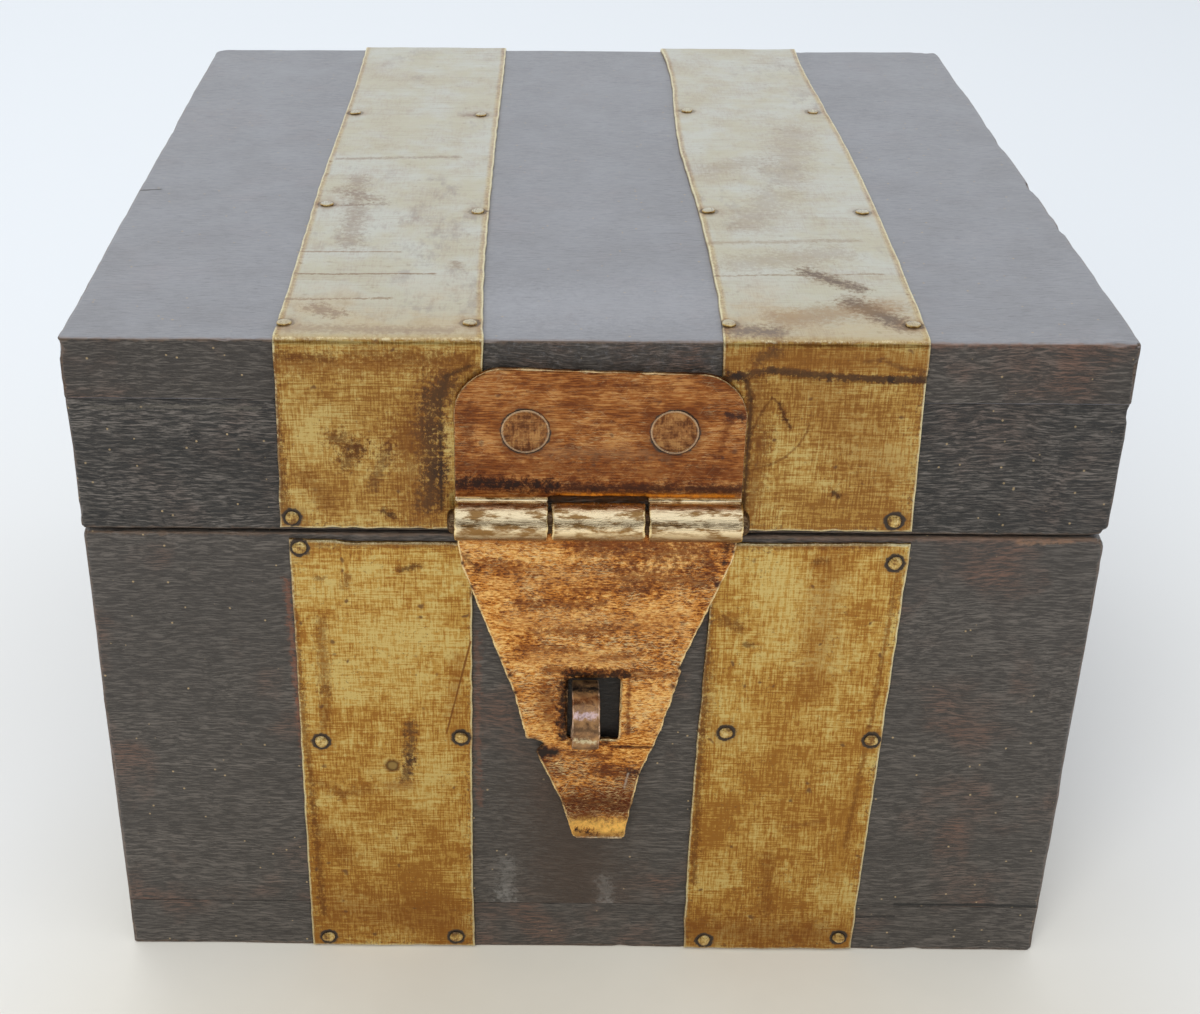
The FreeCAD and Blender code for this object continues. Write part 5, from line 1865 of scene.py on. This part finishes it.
CASE_MARKS: dict[str, Rows] = {
    "left": (
        (((-24.3, 82.1), (-29.5, 59.2)), 0.2, (0.2, 0.08, 0.02), 0.85, 0.05, 1),
        (((-37, 61), (-37.4, 52), (-38.4, 47)), 1.5, UMBER, 0.75, 1.6, 0, 0.3),
        (((-54.7, 87.1), (-54.5, 70), (-55, 61)), 1.5, BROWN, 0.6, 1.3),
        (((-38.5, 99), (-34.5, 100)), 0.9, UMBER, 0.75, 0.7),
        (((-49, 97.5), (-49.3, 95)), 1, BROWN, 0.7, 0.9),
        (((-55, 97), (-53.5, 96.8)), 0.7, UMBER, 0.6, 0.8),
        (((-27, 78), (-28, 64)), 2.2, (0.32, 0.14, 0.03), 0.45, 1.8),
        (((-54, 12), (-30, 8)), 7, (0.3, 0.13, 0.028), 0.5, 4),
        (((-58, 34), (-52, 26)), 3, BROWN, 0.4, 2.4),
        (((-41.1, 50.7), (-41.1, 50.7)), 1.5, (0.1, 0.04, 0.012), 1, 0.2, 0.4),
        (((-41.1, 50.7), (-41.1, 50.7)), 1.05, (0.34, 0.22, 0.07), 1, 0.1, -0.3),
        (((-42, 45.2), (-37.5, 45.6)), 1.6, (0.4, 0.22, 0.06), 0.6, 0.8),
        (((-60.4, 100), (-59.6, 70), (-58.4, 40), (-57.6, 10)), 0.9, BROWN, 0.7, 0.9),
        (((-57, 46), (-52, 43), (-46, 44.5)), 1.6, BROWN, 0.45, 1.5),
        (((-59, 104.6), (-24, 104.9)), 0.9, BROWN, 0.6, 0.9),
        (((-23.6, 103.4), (-22.8, 99)), 1.5, UMBER, 0.85, 0.8, 0, 0.2),
        (((-23.5, 93.5), (-23, 92)), 1, UMBER, 0.85, 0.5, 0, 0.2),
    ),
    "right": (
        (((27, 88), (30, 86)), 1.5, BROWN, 0.75, 1.2),
        (((31.5, 82), (33, 81.8)), 0.8, UMBER, 0.7, 0.6),
        (((24.5, 80), (24.8, 62)), 1.8, BROWN, 0.45, 1.8),
        (((47, 102), (46, 72)), 4.5, (0.36, 0.17, 0.035), 0.45, 2.8),
        (((40, 27), (40.5, 12)), 2, (0.22, 0.09, 0.02), 0.45, 1.8),
        (((24, 6), (52, 5)), 6, (0.24, 0.1, 0.022), 0.6, 3.2),
        (((43, 35), (51, 37)), 0.7, (0.24, 0.11, 0.03), 0.5, 0.6),
        (((57.5, 48), (54.5, 22)), 1.8, (0.62, 0.34, 0.06), 0.6, 1.4),
        (((44, 101.5), (46.5, 101.7)), 0.9, UMBER, 0.6, 0.6),
        (((23.6, 92), (23.8, 60), (24, 20)), 1, BROWN, 0.75, 1),
        (((60.6, 98), (58.8, 62), (56.4, 30)), 0.7, BROWN, 0.6, 0.8),
        (((26, 105), (58, 105.2)), 0.9, BROWN, 0.6, 0.9),
    ),
}

# How far the case straps' upper ends are cut short, by the share across.
CASE_TRIMS: dict[str, Profile] = {
    "left": ((0.0, 0.0), (0.2, 0.1), (0.38, 0.6), (0.7, 0.45), (1.0, 0.6)),
    "right": ((0.0, 0.35), (0.4, 0.2), (1.0, 0.0)),
}


@dataclass
class StrapWork:
    """The brass straps with their tacks, hinges and flush pins.

    Attributes:
        face: The wood's front and back faces, from the middle.
        top: Height of the lid's top.
        bend: Radius of the wood's edge under a strap.
        barrel: Outer radius of a hinge knuckle.
        sheet: Thickness of the straps.
        notch_gap: The gap between a knuckle and the notch beside it.
        lid_foot: Height of the lid straps' lower ends at the front.
        case_foot: Height of the case straps' lower ends.
        heads: Where the tacks meet the straps.
    """

    face: float = 101.3
    top: float = 148.6
    bend: float = 1.0
    barrel: float = 2.56
    sheet: float = 0.8
    notch_gap: float = 0.3
    lid_foot: float = 108.3
    case_foot: float = 0.5
    lid: BrassFinish = BrassFinish(
        film_and_sheen_share=0.92, middle=(0.48, 0.27, 0.063), pale=(0.63, 0.465, 0.165), deep=(0.29, 0.125, 0.023),
    )
    case_front: BrassFinish = BrassFinish(sag=(8.0, 70.0))
    case_back: BrassFinish = BrassFinish(brown_share=0.85, sag=(5.0, 90.0))
    pin: BrassFinish = BrassFinish(
        pale=(0.5, 0.42, 0.24), middle=(0.4, 0.28, 0.12), roughness=0.3, blotch_scale=0.4,
    )
    heads: list[Array] = field(default_factory=list)

    def __post_init__(self) -> None:
        """Take the hinge axis, as y and z, from the frame's joint."""
        joint = next(row for row in frame["joints"] if row["name"] == "lid_open")
        self.axis = (joint["pos_m"][1] / MM, joint["pos_m"][2] / MM)

    def drift(self, notch: float) -> Array:
        """Path points from the back of the wood to the hinge barrel's side.

        Args:
            notch: The height at which they leave the wood.

        Returns:
            Rows of y, z and the outward direction.
        """
        y, z = self.axis
        part = np.linspace(0, 1, 6)[1:-1]
        ease = smooth(part)
        reach = self.face + (y - self.barrel - self.face) * ease
        return np.stack([reach, notch + (z - notch) * part, np.ones(4), np.zeros(4)], 1)

    def roll(self, degrees: float) -> Array:
        """Path points round the hinge pin, from the side of the wood on."""
        return arc_path(self.axis, self.barrel, 180, 180 + degrees, inward=True, count=44)

    def lid_path(self) -> tuple[Array, float]:
        """The way of a lid strap: up the front, over the top, down the back and round the pin.

        Returns:
            The path, and the run length of its notch.
        """
        corner = self.face - self.bend
        seat = self.top - self.bend
        notch = self.axis[1] + self.barrel + self.notch_gap
        rows = np.concatenate([
            straight_path((-self.face, self.lid_foot), (-self.face, seat), (-1, 0)),
            arc_path((-corner, seat), self.bend, 180, 90, inward=False, count=9)[1:],
            arc_path((corner, seat), self.bend, 90, 0, inward=False, count=9),
            straight_path((self.face, seat), (self.face, notch), (1, 0))[1:],
            self.drift(notch), self.roll(320),
        ])
        at_notch = np.isclose(rows[:, 1], notch) & (rows[:, 0] > 0)
        return rows, float(run_lengths(rows)[np.argmax(at_notch)])

    def case_back_path(self) -> tuple[Array, float]:
        """The way of a case's back strap: from its foot up to the hinge and round the pin.

        Returns:
            The path, and the run length of its notch.
        """
        notch = self.axis[1] - self.barrel - self.notch_gap
        rows = np.concatenate([
            straight_path((self.face, self.case_foot), (self.face, notch), (1, 0)), self.drift(notch),
            self.roll(-320),
        ])
        return rows, float(notch - self.case_foot)

    def make(self, strap: Strap, body: str, finish: BrassFinish, seed: int, marks: Sequence[Mark]) -> None:
        """Make and dress one strap.

        Args:
            strap: The strap, still without its tacks.
            body: The body that it rides on.
            finish: Its finish.
            seed: Fixes its unevenness and its patterns.
            marks: Its stains, scratches and painted light.
        """
        low, high = box_of(strap.node)
        strap.heads = [head for head in self.heads if (head > low - 0.5).all() and (head < high + 0.5).all()]
        material = finish.material(strap.node, seed * 0.37, marks, strap.heads)
        made = strap.shape(seed).piece(strap.node + "_sheet", crease_degrees=55)
        settle(made, body, "aged_brass", material, strap.node)

    def make_side(self, side: str, seed: int) -> None:
        """Make the three straps of one side and dress their hinge pin.

        Args:
            side: Left or right.
            seed: Fixes their unevenness.
        """
        front, crown = self.face + self.sheet, self.top + self.sheet
        node = "lid_strap_" + side
        low, high = box_of(node)
        bend = [(float(x), -front + 0.35, crown - 0.35) for x in (low[0] + 1.0, high[0] - 1.0)]
        # A pale gold band along the strap's bend over the lid's front edge: a painted highlight on a rubbed
        # edge.
        rubbed = (bend, 0.55, (0.98, 0.86, 0.52), 0.85, 0.35)
        marks = on_front(front, LID_FRONT_MARKS[side]) + on_top(crown, (*LID_TOP_MARKS[side], rubbed))
        folds = [[(x, -front, z) for x, z in LID_CREASE]] if side == "right" else []
        path, notch = self.lid_path()
        finish = replace(self.lid, contrast=1.6 if side == "left" else 2.0)
        strap = Strap(node, path, knuckles=(0, 2), notch=notch, folds=folds)
        self.make(strap, "lid", finish, seed, marks)
        node = "case_front_strap_" + side
        top = float(box_of(node)[1][2])
        path = straight_path((-self.face, self.case_foot), (-self.face, top), (-1, 0))
        marks = on_front(front, CASE_MARKS[side])
        self.make(Strap(node, path, trims=CASE_TRIMS[side]), "case", self.case_front, seed + 7, marks)
        path, notch = self.case_back_path()
        strap = Strap("case_back_strap_" + side, path, (1,), notch, spacing=1.0, turned_over=True)
        self.make(strap, "case", self.case_back, seed + 13, ())
        dress("hinge_pin_" + side, self.pin.material("hinge_pin_" + side, seed * 0.1))

    def build(self) -> None:
        """Make and dress the straps, their tacks and pins."""
        for body, face, seed in (
            ("lid", "top", 100), ("lid", "side", 140), ("case", "front", 180), ("case", "back", 220),
        ):
            stem = f"{body}_{face}_tack"
            self.heads += TACKS.make(stem + "s", stem + "_heads", body, seed, seed * 1.3)
        for side, seed in (("left", 301), ("right", 331)):
            self.make_side(side, seed)
        plug = IronFinish(dark=(0.10, 0.05, 0.022), rust=(0.30, 0.15, 0.05), sheen=(0.4, 0.25, 0.1))
        dress("lid_flush_pins", plug.material("lid_flush_pins", 2.0))
        plug = BrassFinish(pale=(0.3, 0.17, 0.06), middle=(0.22, 0.11, 0.035))
        dress("case_flush_pin", plug.material("case_flush_pin", 6.0))


# Marks on the hasp and the staple, a few of them painted light.
PITCH = (0.022, 0.010, 0.006)
PLATE_MARKS: Rows = (
    (((-26, 118.8), (0, 118.6), (28.2, 118.4)), 1.5, (0.05, 0.017, 0.007), 0.9, 1, 0, 0.1),
    (((-27, 123), (28, 122)), 2.8, (0.15, 0.045, 0.012), 0.55, 2),
    # Painted shadow: a dark band on the plate above the left knuckle.
    (((-26, 119.9), (-8, 119.2)), 1.5, PITCH, 0.9, 1.2),
    # Painted reflection: a thin bright orange line on the plate just above the middle and right knuckles.
    (((-7, 117.1), (27, 117)), 0.5, (1, 0.36, 0.03), 0.9),
    (((-10, 126.5), (14, 125.8)), 1.8, (0.5, 0.32, 0.16), 0.45, 1.6),
    (((24.8, 134.4), (27.3, 134)), 0.9, PITCH, 0.9, 0.8, 0, 0.3),
    (((25.5, 134), (23.5, 126)), 0.9, (0.1, 0.03, 0.01), 0.6, 1.4),
    (((-24.5, 136), (-24, 128)), 1.3, (0.14, 0.055, 0.02), 0.55, 1.8),
    (((0.5, 140.6), (14, 139.8)), 0.6, (0.11, 0.035, 0.012), 0.6, 0.8),
    (((-4, 131.6), (16, 131)), 0.5, (0.12, 0.04, 0.013), 0.5, 0.5),
)
SOOT = (0.024, 0.013, 0.008)
WINE = (0.14, 0.045, 0.016)
STRAW = (0.56, 0.36, 0.16)
LEAF_NICKS: Profile = (
    (-25.6, 101.7), (-24.2, 96), (-18.5, 79.1), (-16.2, 75.2), (-15.2, 70.8), (27.9, 104.7), (25.9, 102.2),
    (25, 96.9), (18.4, 77.3), (17.2, 72.8), (12, 51.2),
)
LEAF_MARKS: Rows = (
    (((-16, 98), (14, 99)), 4.2, STRAW, 0.3, 3.4),
    (((-14, 88), (16, 88)), 3.4, STRAW, 0.38, 3),
    (((-12, 80), (8, 79)), 3, STRAW, 0.4, 2.6),
    (((-24, 107.5), (24, 107)), 2.2, (0.42, 0.14, 0.02), 0.7, 1.4),
    (((-2, 106), (22, 104)), 3.8, WINE, 0.75, 3.4),
    (((-22, 101.5), (-12, 100.4)), 1.6, WINE, 0.6, 1.6),
    (((-4, 95.6), (12, 96.4)), 1.3, WINE, 0.6, 1.4),
    (((-14, 82), (-3, 81.2)), 1.2, WINE, 0.6, 1.2),
    (((2, 79.6), (13, 80.6)), 1, WINE, 0.6, 1),
    (((6, 99), (22, 98)), 2.6, WINE, 0.7, 2.4),
    (((-14, 92.5), (2, 92.3)), 1.6, WINE, 0.7, 1.6),
    (((-12, 85.5), (4, 86.4)), 1.3, WINE, 0.65, 1.6),
    (((-9, 76.5), (6, 75.6), (18, 75.4)), 1, WINE, 0.6, 0.9, 0.8),
    (((-9, 72), (-8, 64)), 2.8, WINE, 0.7, 1.8),
    (((-6, 74), (-5, 60)), 1.4, SOOT, 0.6, 1, 0, 0.2),
    (((5, 57.4), (15, 57.2)), 0.35, SOOT, 0.8, 0.2, 1.2),
    (((-13.5, 57.4), (-9.5, 55.4)), 2, SOOT, 0.95, 1, 0, 0.3),
    (((-4, 55.6), (4.5, 55)), 1, WINE, 0.7, 0.8),
    (((2, 51), (8, 50)), 1.6, WINE, 0.75, 1.6),
    (((9, 51), (11.5, 50.2)), 1.1, SOOT, 0.9, 0.8, 0, 0.3),
    (((8.7, 50.4), (8, 46.6)), 0.35, (0.6, 0.5, 0.4), 0.8, 0.15),
    (((-4, 43), (9, 42)), 2.6, (0.09, 0.028, 0.01), 0.8, 1.8),
    # Painted highlight: a bright orange band where the leaf's flared lip turns up to the light, made rougher
    # and less metallic so that it shows brighter.
    (((-2.2, -104.8, 36.7), (8.2, -104.8, 36.8)), 2.8, (1, 0.58, 0.13), 1, 1, 0, 0.3),
    (((-1.8, -105.2, 36.3), (0.2, -105.3, 35.9), (2.2, -105.5, 35.5)), 1, SOOT, 1, 1, 0, 0.3),
    (((2.2, -105.5, 35.4), (4.6, -105.5, 35.5), (7.6, -105.3, 35.9)), 0.4, SOOT, 0.9, 0.35, 0, 0.3),
    (((-1.9, -105.7, 34.7), (7.6, -105.7, 34.7)), 0.4, (0.92, 0.8, 0.54), 1, 0.15),
    *((((x, z), (x, z)), 0.8, SOOT, 0.95, 0.4, 0, 0.3) for x, z in LEAF_NICKS),
    (((-11.5, 58.6), (-9.2, 56), (-6.8, 55.8)), 1.7, SOOT, 1, 0.7, 0, 0.3),
    (((-3.6, 75.4), (8.2, 75.3)), 1.5, SOOT, 0.95, 1),
    (((-4.6, 75), (-4.8, 60)), 1.9, SOOT, 0.95, 1.4),
    (((8.2, 74.5), (8.3, 61)), 0.6, WINE, 0.8, 0.5),
    (((-3.8, 58.3), (4, 58.2)), 0.8, SOOT, 0.8, 0.6),
    (((-25, 103), (-22.5, 100)), 1, SOOT, 0.7, 0.8),
    (((26, 105.5), (27.5, 107)), 1.4, SOOT, 0.85, 0.8),
    (((-19.5, 78), (-18, 74)), 1.2, SOOT, 0.8, 0.9, 0, 0.2),
)
STAPLE_MARKS: Rows = (
    # Painted shade: near-black at the staple's root, where it goes into the slot.
    (((-3.4, -104.4, 72.4), (2, -104.4, 72.4)), 2.2, (0.012, 0.008, 0.006), 1, 1, 0, 0.4),
    # Painted highlight: a pale pink line along the crown of the staple's loop.
    (((-3.2, -110.8, 70.1), (1, -110.8, 70.3)), 0.9, (0.8, 0.62, 0.66), 0.8, 0.8),
    (((-3.2, -112.1, 67.5), (1.8, -112.1, 67.3)), 1, (0.12, 0.065, 0.03), 0.9, 1, 0, 0.3),
    (((-3, -112.2, 64.9), (0.8, -112.2, 64.6)), 0.8, (0.8, 0.7, 0.45), 0.9, 0.8),
    (((-3, -111, 62.2), (1.8, -111, 62.2)), 0.8, (0.1, 0.06, 0.03), 0.7, 0.8, 0, 0.3),
)

# The finish that the hasp's pieces vary.
RED_BRASS = BrassFinish(
    pale=(0.56, 0.26, 0.080), middle=(0.35, 0.112, 0.022), deep=(0.16, 0.042, 0.009),
    brown=(0.065, 0.019, 0.009), bright=(0.98, 0.77, 0.40), blotch_scale=0.2, blotch_stretch=(0.42, 1.0, 1.0),
    lines_first=(0.06, 1.4, 1.4), lines_second=(0.12, 1.0, 1.0), line_share=0.42, blotch_share=0.46,
    grit_share=0.6, scratch_share=0.3, scratch_amount=0.04, roughness=0.27, relief_depth=0.02,
    brown_share=0.6, rubbed_and_highlit_axis=(-105.95, 112.45, 4.5),
)


@dataclass
class HaspWork:
    """The hasp: plate, leaf, pin and rivets of redder brass, and the iron staple.

    Attributes:
        leaf_face: The leaf's front face, from the middle of the box.
        plate_face: The plate's front face.
    """

    leaf_face: float = 103.8
    plate_face: float = 103.5
    plate: BrassFinish = replace(RED_BRASS, ring_radius=4.72, contrast=1.3, edge_low=0.4)
    leaf: BrassFinish = replace(
        RED_BRASS, pale=(0.99, 0.60, 0.20), middle=(0.66, 0.25, 0.040), deep=(0.17, 0.040, 0.008),
        scratch_share=0.8, scratch_amount=0.062, lines_first=(0.16, 1.5, 1.5), lines_second=(0.45, 1.2, 1.2),
        line_share=0.36, blotch_share=0.36, grit_share=1.3, grit_scale=1.3, contrast=2.5, edge_low=0.36,
        sag=(40.0, 64.0), sag_depth=0.3,
    )
    # Painted shade: the hasp pin is coloured dark so that the gaps between the knuckles read as shade.
    pin: BrassFinish = replace(
        RED_BRASS, pale=(0.22, 0.13, 0.06), middle=(0.12, 0.06, 0.025), deep=(0.05, 0.025, 0.012),
        rubbed_and_highlit_axis=(0.0, 0.0, 0.0), roughness=0.4,
    )

    def build(self) -> None:
        """Make and dress the hasp and its staple."""
        rivets = RIVETS.make("hasp_plate_rivets", "hasp_rivet_heads", "lid", seed=260, pattern=4.0)
        plate = self.plate.material("hasp_plate", 3.1, on_front(self.plate_face, PLATE_MARKS), rivets)
        leaf = self.leaf.material("hasp_leaf", 7.7, on_front(self.leaf_face, LEAF_MARKS))
        staple = IronFinish().material("hasp_staple", 5.0, on_front(0, STAPLE_MARKS))
        for node, body, slot, material, voxel, dents, seed in (
            ("hasp_plate", "lid", "red_brass", plate, 0.3, 0.07, 61),
            ("hasp_leaf", "hasp", "red_brass", leaf, 0.3, 0.1, 71),
            ("hasp_staple", "case", "dark_iron", staple, 0.25, 0.12, 81),
        ):
            made = worn_copy(node, voxel, dents, seed).piece(node + "_worn", crease_degrees=70)
            settle(made, body, slot, material, node)
        dress("hasp_pin", self.pin.material("hasp_pin", 9.0))
        dress("case_bottom_nails", IronFinish().material("bottom_nails", 8.0))


@dataclass
class Studio:
    """A plain pale floor, soft light and the camera.

    Attributes:
        focal_pixels: The lens's focal length in pixels of an image image_width wide.
        centre_x: Where the lens axis meets the image, in pixels from its left.
        sensor: Width of the camera's sensor.
        eye: The camera's place.
        pitch: How far it looks down, in degrees.
        yaw: How far it looks to the left, in degrees.
        roll: How far it is tilted, in degrees.
        floor_reach: How far the floor goes from the middle.
    """

    focal_pixels: float = 1849.4
    centre_x: float = 505.8
    image_width: float = 1200.0
    sensor: float = 36.0
    eye: Triple = (-13.3, -418.1, 288.1)
    pitch: float = 28.92
    yaw: float = 0.70
    roll: float = 0.07
    floor_reach: float = 4000.0

    def camera(self) -> None:
        """Place the camera."""
        data = bpy.data.cameras.new("camera")
        data.sensor_width = self.sensor
        data.lens = self.focal_pixels * self.sensor / self.image_width
        data.shift_x = 0.5 - self.centre_x / self.image_width
        data.clip_start = 0.01
        data.clip_end = 50.0
        holder = bpy.data.objects.new("camera", data)
        stand = Matrix.Translation(Vector(self.eye) * MM)
        for degrees, axis in ((self.yaw, "Z"), (90 - self.pitch, "X"), (self.roll, "Z")):
            stand = stand @ Matrix.Rotation(math.radians(degrees), 4, axis)
        holder.matrix_world = stand
        bpy.context.scene.collection.objects.link(holder)
        bpy.context.scene.camera = holder

    def floor(self) -> None:
        """Lay a pale floor that is warm in front and cooler behind, with painted shade below the front lamp.
        """
        mesh = bpy.data.meshes.new("floor")
        reach = self.floor_reach * MM
        corners = [(-reach, -reach), (reach, -reach), (reach, reach), (-reach, reach)]
        mesh.from_pydata([(x, y, -0.02 * MM) for x, y in corners], [], [(0, 1, 2, 3)])
        floor = bpy.data.objects.new("floor", mesh)
        bpy.context.scene.collection.objects.link(floor)
        material = bpy.data.materials.new("pale_floor")
        material.use_nodes = True
        material.node_tree.nodes.clear()
        g = Graph(material.node_tree)
        shader = g.add("ShaderNodeBsdfPrincipled")
        g.add("ShaderNodeOutputMaterial", {"Surface": shader.outputs["BSDF"]})
        place = g.add("ShaderNodeTexCoord").outputs["Object"]
        gap = g.scalar("DISTANCE", place, (0.0, -0.17, 0.0))
        cloud = g.span(g.noise(place, 9.0, 5.0, 0.6), 0.3, 0.7)
        colour = g.layered(
            (0.70, 0.665, 0.575), (cloud, (0.77, 0.735, 0.645)),
            (g.span(gap, 0.06, 0.2), (0.80, 0.805, 0.80)),
            (g.span(g.part(place, "Y"), -0.05, 0.3), (0.79, 0.825, 0.86)),
        )
        # Painted shade: the floor's colour falls to half near the spot below the front lamp.
        painted_shade_below_lamp = g.span(g.scalar("DISTANCE", place, (-0.35, -1.3, 0.0)), 0.35, 1.15, (0.5, 1.0))
        g.put(shader.inputs["Base Color"], g.scaled(colour, painted_shade_below_lamp))
        shader.inputs["Roughness"].default_value = 0.7
        mesh.materials.append(material)

    def world(self) -> None:
        """Give the soft surroundings: pale behind and above, quieter in front."""
        world = bpy.data.worlds.new("surroundings")
        world.use_nodes = True
        world.node_tree.nodes.clear()
        g = Graph(world.node_tree)
        place = g.add("ShaderNodeTexCoord").outputs["Generated"]
        behind = g.span(g.part(place, "Y"), -0.55, 0.35)
        above = g.span(g.part(place, "Z"), 0.34, 0.8)
        pale = g.math("MAXIMUM", behind, above)
        path = g.add("ShaderNodeLightPath").outputs
        seen = g.mix(g.math("MAXIMUM", pale, path["Is Camera Ray"]), (0.20, 0.19, 0.18), (0.90, 0.94, 0.99))
        mirrored = g.math("MAXIMUM", path["Is Glossy Ray"], path["Is Transmission Ray"])
        shown = g.math("MAXIMUM", path["Is Camera Ray"], mirrored)
        colour = g.mix(shown, (0.95, 0.97, 1.0), seen)
        strength = g.between(shown, 0.75, 1.0)
        back = g.add("ShaderNodeBackground", {"Color": colour, "Strength": strength})
        g.add("ShaderNodeOutputWorld", {"Surface": back.outputs["Background"]})
        bpy.context.scene.world = world

    def lamp(self, name: str, place: Triple, size: float, watts: float, colour: Triple) -> None:
        """Hang one large soft lamp that looks at the box.

        Args:
            name: Its name.
            place: Where it hangs, in metres.
            size: Its breadth, in metres.
            watts: Its power.
            colour: Its colour.
        """
        data = bpy.data.lights.new(name, "AREA")
        data.shape = "DISK"
        data.size = size
        data.energy = watts
        data.color = colour
        lamp = bpy.data.objects.new(name, data)
        lamp.location = place
        lamp.rotation_euler = (Vector((0, 0, 0.08)) - Vector(place)).to_track_quat("-Z", "Y").to_euler()
        lamp.visible_camera = False
        lamp.visible_glossy = False
        bpy.context.scene.collection.objects.link(lamp)

    def build(self) -> None:
        """Set the whole stage."""
        self.camera()
        self.floor()
        self.world()
        self.lamp("window", (-0.35, 0.9, 1.2), 1.2, 4.0, (0.95, 0.98, 1.0))
        self.lamp("front_fill", (-0.35, -1.3, 1.1), 1.2, 17.0, (1.0, 0.985, 0.96))
        bpy.context.scene.view_settings.view_transform = "Standard"


def main() -> None:
    """Build the box in order."""
    logging.basicConfig(level=logging.INFO, format="%(name)s %(message)s")
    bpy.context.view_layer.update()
    Studio().build()
    WoodWork().build()
    StrapWork().build()
    HaspWork().build()


if __name__ == "__main__":
    main()
